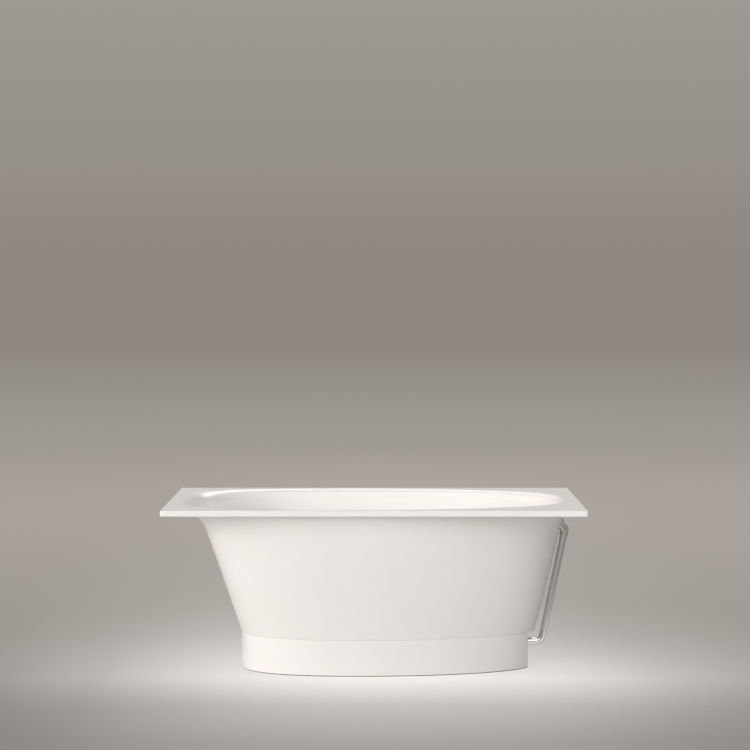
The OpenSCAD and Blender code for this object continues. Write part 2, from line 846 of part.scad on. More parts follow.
module trap_union_nut() {
    color(white_plastic)
    translate([waste_x, 0, trap_top_z - trap_thread_h + thread_shown])
    difference() {
        union() {
            cylinder(r = trap_thread_r + union_nut_wall, h = union_cover + nut_lip);
            grips(trap_thread_r + union_nut_wall, trap_thread_h);
        }
        translate([0, 0, -cut]) cylinder(r = trap_thread_r, h = union_cover + cut);
        translate([0, 0, -cut]) cylinder(r = tail_r + nut_play, h = union_cover + nut_lip + 2 * cut);
    }
}
module trap_washer() {
    color(black_rubber)
    translate([waste_x, 0, trap_top_z]) washer(tail_collar_r, trap_in_r + washer_back, washer_t);
}
// The trap's route as solid bars of one radius: down, round, along, up, and out
module trap_route(r) {
    low = trap_low_z + trap_bend_r;
    translate([waste_x, 0, low]) cylinder(r = r, h = trap_top_z - low);
    translate([waste_x - trap_bend_r, 0, low]) rotate([-90, 0, 0]) bar_bend(trap_bend_r, r, 90);
    translate([waste_x - trap_bend_r - trap_run, 0, trap_low_z])
        rotate([0, 90, 0]) cylinder(r = r, h = trap_run);
    translate([out_leg_x + trap_bend_r, 0, low])
        rotate([-90, 90, 0]) bar_bend(trap_bend_r, r, 90);
    translate([out_leg_x, 0, low]) cylinder(r = r, h = trap_out_z - trap_bend_r - low);
    translate([out_start_x, 0, trap_out_z - trap_bend_r])
        rotate([90, 0, 0]) bar_bend(trap_bend_r, r, 90);
}
module trap_body() {
    color(white_plastic)
    difference() {
        union() {
            trap_route(trap_tube_r);
            translate([waste_x, 0, trap_top_z - trap_thread_h])
                cylinder(r = trap_thread_r, h = trap_thread_h);
            translate([waste_x, 0, pipe_run_z]) rotate([0, 90, 0]) cylinder(r = inlet_r, h = inlet_len);
            translate([socket_end_x, 0, trap_out_z])
                rotate([0, 90, 0]) cylinder(r = socket_r, h = socket_len);
            translate([plug_x, 0, trap_low_z])
                rotate([90, 0, 0]) cylinder(r = plug_boss_r, h = plug_boss_y);
        }
        trap_route(trap_in_r);
        translate([waste_x, 0, trap_top_z - cut]) cylinder(r = trap_in_r, h = 2 * cut);
        translate([waste_x, 0, pipe_run_z])
            rotate([0, 90, 0]) cylinder(r = pipe_r - pipe_wall, h = inlet_len + cut);
        translate([pipe_end_x, 0, pipe_run_z])
            rotate([0, 90, 0]) cylinder(r = pipe_r, h = inlet_len);
        translate([inlet_end_x - seal_t, 0, pipe_run_z])
            rotate([0, 90, 0]) cylinder(r = pipe_r + seal_w, h = seal_t + cut);
        translate([socket_end_x - cut, 0, trap_out_z])
            rotate([0, 90, 0]) cylinder(r = trap_in_r, h = socket_len + cut);
        translate([socket_end_x - cut, 0, trap_out_z])
            rotate([0, 90, 0]) cylinder(r = trap_tube_r, h = socket_len - tail_stop + cut);
        translate([plug_x, 0, trap_low_z])
            rotate([90, 0, 0]) cylinder(r = plug_bore_r, h = plug_boss_y + cut);
    }
}
// Compression joint: a seal in the socket's mouth and a ring nut that presses it
seal_t = 3;
seal_w = 2.5;
ring_nut_wall = 3.5;
module ring_nut(socket, pipe, cover, lip) {
    difference() {
        union() {
            cylinder(r = socket + ring_nut_wall, h = cover + lip);
            grips(socket + ring_nut_wall, cover + lip);
        }
        translate([0, 0, -cut]) cylinder(r = socket, h = cover + cut);
        translate([0, 0, -cut]) cylinder(r = pipe, h = cover + lip + 2 * cut);
    }
}
nut_cover = 12;
module inlet_nut() {
    color(white_plastic)
    translate([inlet_end_x - nut_cover, 0, pipe_run_z])
        rotate([0, 90, 0]) ring_nut(inlet_r, pipe_r, nut_cover, nut_lip);
}
module inlet_seal() {
    color(black_rubber)
    translate([inlet_end_x - seal_t, 0, pipe_run_z])
        rotate([0, 90, 0]) washer(pipe_r + seal_w, pipe_r, seal_t);
}
plug_head_t = 7;
plug_head_r = plug_boss_r + 2.5;
plug_len = 12;
plug_slot = 3;
module trap_plug() {
    color(white_plastic)
    translate([plug_x, -plug_boss_y - washer_t, trap_low_z])
    rotate([90, 0, 0])
    difference() {
        union() {
            cylinder(r = plug_head_r, h = plug_head_t);
            translate([0, 0, -washer_t - plug_len])
                cylinder(r = plug_bore_r, h = washer_t + plug_len + cut);
        }
        translate([-plug_head_r - cut, -plug_slot / 2, plug_head_t - plug_slot])
            cube([2 * plug_head_r + 2 * cut, plug_slot, plug_slot + cut]);
    }
}
module trap_plug_seal() {
    color(black_rubber)
    translate([plug_x, -plug_boss_y, trap_low_z])
        rotate([90, 0, 0]) washer(plug_boss_r, plug_bore_r, washer_t);
}
module outlet_nut() {
    color(white_plastic)
    translate([socket_end_x + nut_cover, 0, trap_out_z])
        rotate([0, -90, 0]) ring_nut(socket_r, trap_tube_r, nut_cover + outlet_seal_t, nut_lip);
}
outlet_seal_t = 2.5;
module outlet_seal() {
    color(black_rubber)
    translate([socket_end_x - outlet_seal_t, 0, trap_out_z])
        rotate([0, 90, 0]) washer(socket_r, trap_tube_r, outlet_seal_t);
}
// The tail pipe: level out of the trap, one bend and down to the drain in the floor
tail_start_x = out_start_x - tail_stop - tail_gap;
tail_bend_x = tail_start_x - tail_run;
module tail_route(r, extra) {
    translate([tail_bend_x, 0, trap_out_z]) rotate([0, 90, 0]) cylinder(r = r, h = tail_run + extra);
    translate([tail_bend_x, 0, trap_out_z - tail_bend_r])
        rotate([90, 0, 180]) bar_bend(tail_bend_r, r, 90);
    translate([tail_bend_x - tail_bend_r, 0, tail_end_z - extra])
        cylinder(r = r, h = trap_out_z - tail_bend_r - tail_end_z + extra);
}
module outlet_tail() {
    color(white_plastic)
    difference() {
        tail_route(trap_tube_r, 0);
        tail_route(trap_in_r, cut);
    }
}

// The rosette is pressed from sheet: a flat edge and a dome with holes round its hub
rosette_edge = 6;
hub_flat_r = 8;
overflow_screw_r = 3;
overflow_head_r = 7.5;
overflow_head_h = 4.5;
screw_short = 1;
module rosette_profile(r, h) {
    polygon(concat(
        [[0, 0]],
        [[r - rosette_edge, 0]],
        [for (a = [10:10:60]) [
            between(r - rosette_edge, hub_flat_r, 1 - cos(a * 1.5)),
            h * sin(a * 1.5)
        ]],
        [[0, h]]
    ));
}
module overflow_rosette() {
    color(chrome)
    at_inner_seat()
    translate([0, 0, inner_gasket_t])
    difference() {
        union() {
            cylinder(r = rosette_r, h = rosette_t);
            rotate_extrude() rosette_profile(rosette_r, rosette_h);
        }
        translate([0, 0, -skim])
            rotate_extrude() rosette_profile(rosette_r - rosette_t, rosette_h - rosette_t);
        for (i = [0:rosette_holes - 1]) {
            rotate([0, 0, 360 * (i + 0.5) / rosette_holes])
                translate([rosette_pitch_r, 0, -cut])
                cylinder(r = rosette_hole_r, h = rosette_h + 2 * cut);
        }
        translate([0, 0, -cut])
            cylinder(r = overflow_screw_r + bush_play, h = rosette_h + 2 * cut);
    }
}
inner_gasket_t = 1.5;
module overflow_screw() {
    color(steel)
    at_inner_seat()
    translate([0, 0, inner_gasket_t + rosette_h])
        dome_screw(
            overflow_head_r, overflow_head_h, overflow_screw_r,
            rosette_h + inner_gasket_t + inner_seat + overflow_gasket_t + hood_bar_t - screw_short
        );
}
module overflow_inner_gasket() {
    color(black_rubber)
    at_inner_seat()
        washer(rosette_r - gasket_in, rosette_r - rosette_edge - rosette_t, inner_gasket_t);
}
module overflow_outer_gasket() {
    color(black_rubber)
    at_overflow() washer(hood_flange_r, overflow_hole_r + gasket_play, overflow_gasket_t);
}

// The hood turns the overflow down into the pipe. Its corner is where the two bores meet.
hood_flange_t = 3;
hood_bore_r = 12;
hood_bar_t = 7;
hood_bar_w = 13;
socket_top = 11;
socket_cover = 5;
seat_h = 1.5;
// Where the moulded hood ends over its turned socket, how far it stands back from the socket's
// face, and how far the socket runs up inside it
hood_shoulder = 6;
hood_step = 0.5;
socket_up = 12;
corner_x = overflow_x + hood_reach * cos(wall_lean);
corner_z = overflow_z - hood_reach * sin(wall_lean);
foot_corner_x = base_drain + pipe_clear;
pipe_lean = atan((corner_x - foot_corner_x) / (corner_z - pipe_run_z));
// Frame at the hood's corner: +Z points up along the pipe
module at_corner() {
    translate([corner_x, 0, corner_z]) rotate([0, pipe_lean, 0]) children();
}
socket_end = collar_drop + socket_cover;
pipe_depth = 14;
pipe_top = collar_drop - pipe_depth;
module overflow_hood() {
    color(chrome)
    difference() {
        union() {
            hull() {
                at_overflow() translate([0, 0, overflow_gasket_t])
                    cylinder(r = hood_flange_r, h = hood_flange_t, $fn = 48);
                at_corner() translate([0, 0, hood_shoulder - collar_drop])
                    cylinder(
                        r = hood_socket_r - hood_step,
                        h = collar_drop - hood_shoulder - socket_top,
                        $fn = 48
                    );
            }
            at_corner() translate([0, 0, -socket_end])
                cylinder(r = hood_socket_r, h = socket_end - collar_drop + socket_up);
        }
        difference() {
            union() {
                at_overflow() cylinder(r = hood_bore_r, h = hood_reach);
                at_corner() sphere(r = hood_bore_r);
            }
            at_overflow() translate([-hood_bore_r, -hood_bar_w / 2, overflow_gasket_t])
                cube([2 * hood_bore_r, hood_bar_w, hood_bar_t]);
        }
        at_overflow() cylinder(r = waste_bush_r, h = overflow_gasket_t + hood_bar_t + cut);
        at_corner() translate([0, 0, -socket_end - cut])
            cylinder(r = pipe_r - pipe_wall, h = socket_end + cut);
        at_corner() translate([0, 0, -socket_end - cut])
            cylinder(r = pipe_r, h = socket_end - pipe_top + cut);
    }
}
module overflow_bush() {
    color(brass)
    at_overflow() translate([0, 0, overflow_gasket_t])
        washer(waste_bush_r, overflow_screw_r + bush_play, hood_bar_t);
}
module overflow_collar() {
    color(chrome)
    at_corner() translate([0, 0, -collar_drop - collar_h])
    difference() {
        cylinder(r = hood_socket_r + collar_wall, h = collar_h);
        translate([0, 0, -cut]) cylinder(r = pipe_r, h = collar_h + 2 * cut);
        translate([0, 0, collar_h - socket_cover - seat_h])
            cylinder(r = hood_socket_r, h = collar_h);
    }
}
module overflow_seal() {
    color(black_rubber)
    at_corner() translate([0, 0, -socket_end - seat_h]) washer(hood_socket_r, pipe_r, seat_h);
}
// The pipe: down beside the wall, one bend, and level through the access opening to the trap.
// It is swept along stations, each [x, z, and the direction away from the bend's middle].
pipe_turn = 90 - pipe_lean;
bend_len = pipe_bend_r * tan(pipe_turn / 2);
bend_mid = [foot_corner_x - bend_len, pipe_run_z + pipe_bend_r];
leg_len = (corner_z - pipe_run_z) / cos(pipe_lean) - bend_len - pipe_top;
pipe_sides = 36;
bend_steps = 12;
leg_way = [sin(pipe_lean), cos(pipe_lean)];
function pipe_station(a, back) =
    let (out = [cos(a), -sin(a)], at = bend_mid + out * pipe_bend_r + back)
    concat(at, out);
pipe_stations = concat(
    [pipe_station(pipe_lean, leg_way * leg_len)],
    [for (i = [0:bend_steps]) pipe_station(pipe_lean + pipe_turn * i / bend_steps, [0, 0])],
    [pipe_station(90, [pipe_end_x - bend_mid[0], 0])]
);
function pipe_ring(s, r) = [
    for (i = [0:pipe_sides - 1])
        let (a = 360 * i / pipe_sides)
        [s[0] + r * cos(a) * s[2], r * sin(a), s[1] + r * cos(a) * s[3]]
];
module overflow_pipe() {
    n = len(pipe_stations);
    rings = concat(
        [for (s = pipe_stations) pipe_ring(s, pipe_r)],
        [for (i = [n - 1:-1:0]) pipe_ring(pipe_stations[i], pipe_r - pipe_wall)]
    );
    color(chrome)
    polyhedron(points = [for (r = rings, p = r) p], faces = ring_faces(rings, true));
}

bath_shell();
plinth();
joint_seal();
foot_inserts();
foot_lock_nuts();
foot_stud(FEET[0]);  // foot_stud_1
foot_stud(FEET[1]);  // foot_stud_2
foot_stud(FEET[2]);  // foot_stud_3
foot_stud(FEET[3]);  // foot_stud_4
foot_pad(FEET[0]);  // foot_pad_1
foot_pad(FEET[1]);  // foot_pad_2
foot_pad(FEET[2]);  // foot_pad_3
foot_pad(FEET[3]);  // foot_pad_4
foot_sole(FEET[0]);  // foot_sole_1
foot_sole(FEET[1]);  // foot_sole_2
foot_sole(FEET[2]);  // foot_sole_3
foot_sole(FEET[3]);  // foot_sole_4
waste_flange();
waste_screw();
waste_top_gasket();
waste_bottom_gasket();
waste_body();
waste_bush();
trap_union_nut();
trap_washer();
trap_body();
inlet_nut();
inlet_seal();
trap_plug();
trap_plug_seal();
outlet_nut();
outlet_seal();
outlet_tail();
overflow_rosette();
overflow_screw();
overflow_inner_gasket();
overflow_outer_gasket();
overflow_hood();
overflow_bush();
overflow_collar();
overflow_seal();
overflow_pipe();
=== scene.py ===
"""Freestanding bath of cast stone: an egg-shaped bowl under a rectangular rim slab, a plinth cut
flat at the drain end, levelling feet, a strainer waste with its trap, and a chrome overflow.
Metres. +X points to the drain end, +Y to the wall behind the bath, +Z up."""

import math

import bmesh
import bpy
import numpy as np
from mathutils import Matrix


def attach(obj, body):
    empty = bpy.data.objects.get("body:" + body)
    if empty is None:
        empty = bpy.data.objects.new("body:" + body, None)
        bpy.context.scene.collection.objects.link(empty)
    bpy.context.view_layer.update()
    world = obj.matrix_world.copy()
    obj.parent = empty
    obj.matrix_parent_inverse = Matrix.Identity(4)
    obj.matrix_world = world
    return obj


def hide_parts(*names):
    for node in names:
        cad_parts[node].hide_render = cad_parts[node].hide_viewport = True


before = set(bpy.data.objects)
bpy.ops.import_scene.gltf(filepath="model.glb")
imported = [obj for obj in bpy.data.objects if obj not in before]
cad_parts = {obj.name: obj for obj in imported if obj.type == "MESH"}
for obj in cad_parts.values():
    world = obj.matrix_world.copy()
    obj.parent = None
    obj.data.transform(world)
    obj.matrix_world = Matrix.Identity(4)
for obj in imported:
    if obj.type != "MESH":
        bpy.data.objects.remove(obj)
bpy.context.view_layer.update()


# The shell is one casting of white mineral resin under a gloss gel coat: the egg-shaped bowl and
# the rectangular rim slab are poured together. It stands on the plinth, with cast bosses for the
# feet underneath, a sunk seat for the waste and two flat seats for the overflow.
rim_length, rim_width, rim_top, rim_thick = 1.5, 0.75, 0.615, 0.020
rim_corner, rim_arris = 0.006, 0.0025
deck_head, deck_drain, deck_side = 0.034, 0.053, 0.030
roll_head, roll_drain, roll_side, roll_height = 0.048, 0.013, 0.017, 0.030
roll_lean = 0.4
wall = 0.015
bowl_z, floor_rise = 0.178, 0.010
cove_height, cove_head, cove_drain, cove_side = 0.045, 0.029, 0.011, 0.019
flare_head, flare_side, flare_height = 0.042, 0.012, 0.080
root_radius = 0.012
plinth_height, joint_gap = 0.129, 0.0015
base_head, base_drain, base_half = 0.489, 0.593, 0.230
base_wide_x, mouth_wide_x = -0.035, -0.045
foot_edge = 0.0022
lip_width, plinth_wall, plinth_setback = 0.030, 0.022, 0.030
recess_draft, recess_fillet = 0.003, 0.010
drain_belly = 0.14
slab_z = rim_top - rim_thick
seam_z = plinth_height + joint_gap
under_z = bowl_z - wall
waste_x = base_drain - 0.146
waste_hole_r, waste_seat_r, waste_seat_z = 0.0265, 0.0356, 0.1748
waste_boss_r, waste_boss_z = 0.042, under_z - 0.003
hole_ease, seat_ease, seat_land = 0.0004, 0.0003, 0.0016
edge_land, foot_land = 0.0012, 0.001

end_steps, corner_steps, side_steps = 34, 8, 68
floor_steps, deck_steps = (0.06, 0.16, 0.3, 0.45, 0.6, 0.75, 0.88, 0.97), (0.06, 0.35, 0.7, 1)
root_steps, recess_steps = (0, 0.4, 0.9), (0.03, 0.3, 0.6, 0.9)
cove_rows, wall_rows, roll_rows, root_rows, outside_rows = 15, 24, 19, 9, 28


def slab_outline(inset):
    """Rounded rectangle of the rim slab, drawn in by inset. A quarter runs along the end, round
    the corner's arc and along the side; the other three quarters are its mirror images."""
    half_l, half_w = rim_length / 2 - inset, rim_width / 2 - inset
    r = max(0.0005, rim_corner - inset)
    turn = np.linspace(0, np.pi / 2, corner_steps + 1)
    up = np.arange(end_steps) / end_steps
    back = 1 - np.arange(1, side_steps) / side_steps
    quarter = np.concatenate([
        np.stack([np.full(end_steps, half_l), (half_w - r) * up], 1),
        np.stack([half_l - r + r * np.cos(turn), half_w - r + r * np.sin(turn)], 1),
        np.stack([(half_l - r) * back, np.full(side_steps - 1, half_w)], 1)])
    return np.concatenate([
        quarter, [[0, half_w]], quarter[:0:-1] * [-1, 1],
        [[-half_l, 0]], -quarter[1:], [[0, -half_w]], quarter[:0:-1] * [1, -1]])


rays = slab_outline(0)
rays = rays / np.linalg.norm(rays, axis=1, keepdims=True)


def egg_outline(e):
    """Where each ray from the middle meets an egg [widest line, head reach, drain reach, half
    width, four powers]: a point lies inside while |(x - wide) / reach| ^ along + |y / half| ^
    across is under 1, and the distance along each ray is halved in on that edge."""
    near, far = np.zeros(len(rays)), np.full(len(rays), rim_length)
    for _ in range(40):
        middle = (near + far) / 2
        x, y = rays[:, 0] * middle, rays[:, 1] * middle
        drain = x >= e[0]
        along = np.where(drain, (x - e[0]) / (e[2] - e[0]), (e[0] - x) / (e[1] + e[0]))
        inside = (along ** np.where(drain, e[6], e[4])
                  + np.abs(y / e[3]) ** np.where(drain, e[7], e[5])) < 1
        near, far = np.where(inside, middle, near), np.where(inside, far, middle)
    return rays * near[:, None]


def reach(head, drain, side):
    return np.array([0, head, drain, side, 0, 0, 0, 0])


def all_round(d):
    return reach(d, d, d)


def bend_curve(a, b, c, f):
    """Quadratic curve from a to c that leaves a and reaches c in the direction of b."""
    return a * (1 - f) ** 2 + b * 2 * f * (1 - f) + c * f * f


base_line = np.array([base_wide_x, base_head, base_drain, base_half, 2.65, 2.65, 2, 2])
mouth_line = np.array([mouth_wide_x, rim_length / 2 - deck_head, rim_length / 2 - deck_drain,
                       rim_width / 2 - deck_side, 2.6, 4.2, 1.68, 3])
slab_line = mouth_line - reach(roll_head - wall, roll_drain - wall, roll_side - wall)


def body_at(z):
    """Outline of the shell's outside at height z: straight leaning walls, a flare under the slab
    that grows as the square of the height, and a slight belly at the drain end."""
    f = (z - seam_z) / (slab_z - seam_z)
    flare = max(0, (z - slab_z + flare_height) / flare_height) ** 2
    straight = base_line + (slab_line - reach(flare_head, 0, flare_side) - base_line) * f
    belly = (slab_line[2] - base_line[2]) * drain_belly * f * (1 - f)
    return straight + reach(flare_head * flare, belly, flare_side * flare)


def bowl_at(z):
    return body_at(z) - all_round(wall)


def rise_at(x):
    """How much higher the bowl's floor lies at x than at the waste: a square law to the head."""
    return floor_rise * ((np.minimum(x, waste_x) - waste_x) / (waste_x + base_head)) ** 2


def level(xy, z):
    return np.column_stack([xy, np.broadcast_to(z, len(xy))])


def full_turn(columns):
    return np.linspace(0, 2 * np.pi, columns, endpoint=False)


def waste_circle(r, z, toward):
    """Circle round the waste, its points turned half way towards those of an outline."""
    seen = np.unwrap(np.arctan2(toward[:, 1], toward[:, 0] - waste_x))
    turn = (seen + full_turn(len(toward))) / 2
    return level(np.stack([waste_x + r * np.cos(turn), r * np.sin(turn)], 1), z)


def shell_rows():
    """The shell's rows of points, once round its section: up out of the waste hole, over the
    bowl's floor, up the cove and wall, over the roll and the deck, round the slab's edge, down
    outside, round the lower edge and back over the recess underneath."""
    cove_line = bowl_at(bowl_z) - reach(cove_head, cove_drain, cove_side)
    floor_edge = egg_outline(cove_line)
    recess_line = base_line - reach(lip_width, plinth_setback + plinth_wall, lip_width)
    recess_edge = egg_outline(recess_line - all_round(recess_draft + recess_fillet))
    quarter = np.linspace(0, np.pi / 2, 7)
    rows = [waste_circle(r, z, floor_edge) for r, z in (
        (waste_hole_r, waste_boss_z + hole_ease), (waste_hole_r, waste_seat_z),
        (waste_seat_r, waste_seat_z), (waste_seat_r, bowl_z - seat_ease),
        (waste_seat_r + seat_ease, bowl_z), (waste_seat_r + seat_land, bowl_z))]
    start = rows[-1][:, :2]
    for f in floor_steps:
        xy = start + (floor_edge - start) * f
        rows.append(level(xy, bowl_z + rise_at(xy[:, 0])))
    for f in np.linspace(1, 0, cove_rows)[:-1]:
        xy = egg_outline(bend_curve(bowl_at(bowl_z + cove_height), bowl_at(bowl_z), cove_line, f))
        rows.append(level(xy, bowl_z + cove_height * (1 - f) ** 2 + f * rise_at(xy[:, 0])))
    roll_z = rim_top - roll_height
    for z in np.linspace(bowl_z + cove_height, roll_z, wall_rows):
        rows.append(level(egg_outline(bowl_at(z)), z))
    crease = bowl_at(roll_z)
    bend = crease + (bowl_at(rim_top) - crease) * roll_lean
    for f in np.linspace(0, 1, roll_rows)[1:]:
        e = bend_curve(crease, bend, mouth_line, f)
        rows.append(level(egg_outline(e), rim_top - roll_height * (1 - f) ** 2))
    mouth, deck = rows[-1][:, :2], slab_outline(rim_arris + edge_land)
    rows += [level(mouth + (deck - mouth) * f, rim_top) for f in deck_steps]
    rows += [level(slab_outline(rim_arris * (1 - math.sin(a))),
                   rim_top - rim_arris * (1 - math.cos(a))) for a in quarter]
    rows += [level(slab_outline(0), z) for z in (rim_top - rim_arris - edge_land,
                                                 slab_z + rim_arris + edge_land)]
    rows += [level(slab_outline(rim_arris * (1 - math.cos(a))),
                   slab_z + rim_arris * (1 - math.sin(a))) for a in quarter]
    root_line = body_at(slab_z) + all_round(root_radius)
    root = egg_outline(root_line)
    rows += [level(deck + (root - deck) * f, slab_z) for f in root_steps]
    for f in np.linspace(0, 1, root_rows):
        e = bend_curve(root_line, body_at(slab_z), body_at(slab_z - root_radius), f)
        rows.append(level(egg_outline(e), slab_z - root_radius * f * f))
    for z in np.linspace(slab_z - root_radius, seam_z + foot_edge, outside_rows)[1:]:
        rows.append(level(egg_outline(body_at(z)), z))
    for f in np.linspace(0, 1, 7)[1:]:
        e = bend_curve(body_at(seam_z + foot_edge), base_line, base_line - all_round(foot_edge), f)
        rows.append(level(egg_outline(e), seam_z + foot_edge * (1 - f) ** 2))
    rows += [level(egg_outline(base_line - all_round(foot_edge + foot_land)), seam_z),
             level(egg_outline(recess_line + all_round(foot_land)), seam_z),
             level(egg_outline(recess_line), seam_z + foot_land)]
    for a in quarter:
        xy = egg_outline(recess_line - all_round(recess_draft + recess_fillet * (1 - math.cos(a))))
        z = under_z - recess_fillet * (1 - math.sin(a))
        rows.append(level(xy, z + rise_at(xy[:, 0])))
    boss = waste_circle(waste_boss_r, under_z, floor_edge)[:, :2]
    for f in recess_steps:
        xy = recess_edge + (boss - recess_edge) * f
        rows.append(level(xy, under_z + rise_at(xy[:, 0])))
    rows += [waste_circle(r, z, floor_edge) for r, z in (
        (waste_boss_r, under_z), (waste_boss_r, waste_boss_z),
        (waste_hole_r + hole_ease, waste_boss_z))]
    return np.stack(rows)


def grid_faces(rows, columns, ring, first):
    """Four-cornered faces between neighbouring rows and columns, numbered from first. The columns
    close on themselves, and so do the rows where the grid is a ring."""
    j = np.arange(rows if ring else rows - 1)[:, None]
    i = np.arange(columns)[None, :]
    below, above, beside = j * columns, (j + 1) % rows * columns, (i + 1) % columns
    corners = [below + i, below + beside, above + beside, above + i]
    return first + np.stack(corners, -1).reshape(-1, 4)


sharp_from = 35


def new_object(name, data):
    made = bpy.data.objects.new(name, data)
    bpy.context.scene.collection.objects.link(made)
    return made


def new_piece(name, grids, ring=False, crease=sharp_from):
    """One object from grids of points, each rows x columns x 3. Points that meet are merged, the
    faces are turned outwards, and edges sharper than crease degrees stay sharp."""
    counts = [g.shape[0] * g.shape[1] for g in grids]
    firsts = np.concatenate([[0], np.cumsum(counts)[:-1]])
    faces = np.concatenate([grid_faces(*g.shape[:2], ring, n) for g, n in zip(grids, firsts)])
    mesh = bpy.data.meshes.new(name)
    mesh.from_pydata(np.concatenate([g.reshape(-1, 3) for g in grids]), [], faces)
    work = bmesh.new()
    work.from_mesh(mesh)
    bmesh.ops.remove_doubles(work, verts=work.verts, dist=1e-7)
    bmesh.ops.recalc_face_normals(work, faces=work.faces)
    work.to_mesh(mesh)
    work.free()
    mesh.shade_smooth()
    mesh.set_sharp_from_angle(angle=math.radians(crease))
    return new_object(name, mesh)


def around(r, a, z):
    """Points at radius r, angle a and height z: x = r cos a and y = r sin a."""
    r, a, z = np.broadcast_arrays(r, a, z)
    return np.stack([r * np.cos(a), r * np.sin(a), z], -1)


def placed(points, place):
    """Points set where they belong by a place, which is a turn and an origin."""
    if place is None:
        return points
    turn, origin = place
    return points @ np.asarray(turn).T + np.asarray(origin)


def turned(profile, columns=64, place=None, start=0):
    """A profile of [radius, height] pairs carried round the axis, from the angle start."""
    r, h = np.asarray(profile, float).T[..., None]
    return placed(around(r, start + full_turn(columns), h), place)


def carve(piece, name, grids, operation="DIFFERENCE"):
    """Cut the solid that some grids enclose out of a piece, or join it on."""
    tool = new_piece(name, grids)
    cut = piece.modifiers.new(name, "BOOLEAN")
    cut.operation, cut.solver, cut.object = operation, "EXACT", tool
    bpy.context.view_layer.update()
    graph = bpy.context.evaluated_depsgraph_get()
    carved = bpy.data.meshes.new_from_object(piece.evaluated_get(graph))
    piece.modifiers.clear()
    piece.data = carved
    carved.shade_smooth()
    carved.set_sharp_from_angle(angle=math.radians(sharp_from))
    bpy.data.objects.remove(tool)


foot_places = [(-0.330, -0.116), (-0.330, 0.116), (0.290, -0.116), (0.290, 0.116)]
boss_r, boss_z, insert_r, insert_length = 0.022, seam_z + 0.0075, 0.0095, 0.024
cut_past = 0.001
overflow_z = rim_top - 0.090
slope_span = 0.020
wall_lean = math.atan((body_at(overflow_z + slope_span)[2] - body_at(overflow_z - slope_span)[2])
                      / (2 * slope_span))
seat_depth, seat_play = 0.0007, 0.0006
overflow_x = body_at(overflow_z)[2] - seat_depth
inner_seat = wall * math.cos(wall_lean) - 2 * seat_depth
overflow_hole_r, hood_flange_r, rosette_r = 0.015, 0.022, 0.0345


def turn_y(angle):
    """Turn about Y by an angle: x' = x cos + z sin, z' = z cos - x sin."""
    c, s = math.cos(angle), math.sin(angle)
    return np.array([[c, 0, s], [0, 1, 0], [-s, 0, c]])


def moved_out(place, distance):
    """A place moved along its own third axis."""
    return place[0], placed(np.array([0, 0, distance]), place)


# Frames on the overflow's two seats: their third axis points out of the bath, or into it
outer_frame = (turn_y(math.pi / 2 + wall_lean), (overflow_x, 0, overflow_z))
behind_frame = moved_out(outer_frame, -inner_seat)
inner_frame = (behind_frame[0] @ np.diag([1, -1, -1]), behind_frame[1])


def rod(r, low, high, place=None, columns=96):
    return turned([[0, low], [r, low], [r, high], [0, high]], columns, place)


def at_foot(x, y):
    return np.eye(3), (x, y, 0)


shell = new_piece("bath_shell_cast", [shell_rows()], ring=True)
carve(shell, "bosses", [rod(boss_r, boss_z, under_z + wall / 2, at_foot(x, y))
                        for x, y in foot_places], "UNION")
carve(shell, "bores", [rod(insert_r, boss_z - cut_past, boss_z + insert_length, at_foot(x, y))
                       for x, y in foot_places]
      + [rod(overflow_hole_r, -3 * wall, 3 * wall, outer_frame)])
carve(shell, "seats", [rod(hood_flange_r + seat_play, 0, wall, outer_frame),
                       rod(rosette_r + seat_play, -wall, 0, behind_frame)])


def feed(tree, socket, value):
    """Link a node's socket to another node's output, or set it to a value."""
    if isinstance(value, bpy.types.NodeSocket):
        tree.links.new(value, socket)
    else:
        socket.default_value = value


def ranged(tree, value, low, high):
    """How far a value has come from low to high, held between 0 and 1."""
    node = tree.nodes.new("ShaderNodeMapRange")
    for label, given in (("From Min", low), ("From Max", high), ("Value", value)):
        feed(tree, node.inputs[label], given)
    return node


def mixed(tree, a, b, factor=1.0, operation="MIX"):
    """Colours a and b, mixed by a factor or put together by another operation."""
    node = tree.nodes.new("ShaderNodeMix")
    node.data_type, node.blend_type = "RGBA", operation
    for label, given in (("Factor", factor), ("A", a), ("B", b)):
        feed(tree, node.inputs[label], (*given, 1) if isinstance(given, tuple) else given)
    return node.outputs["Result"]


def coordinates(tree, kind):
    return tree.nodes.new("ShaderNodeTexCoord").outputs[kind]


def parts_of(tree, vector):
    """A vector's separate X, Y and Z."""
    parts = tree.nodes.new("ShaderNodeSeparateXYZ")
    tree.links.new(vector, parts.inputs["Vector"])
    return parts.outputs


def add_sockets(group, way, **kinds):
    for label, kind in kinds.items():
        group.interface.new_socket(label.replace("_", " "), in_out=way,
                                   socket_type="NodeSocket" + kind)


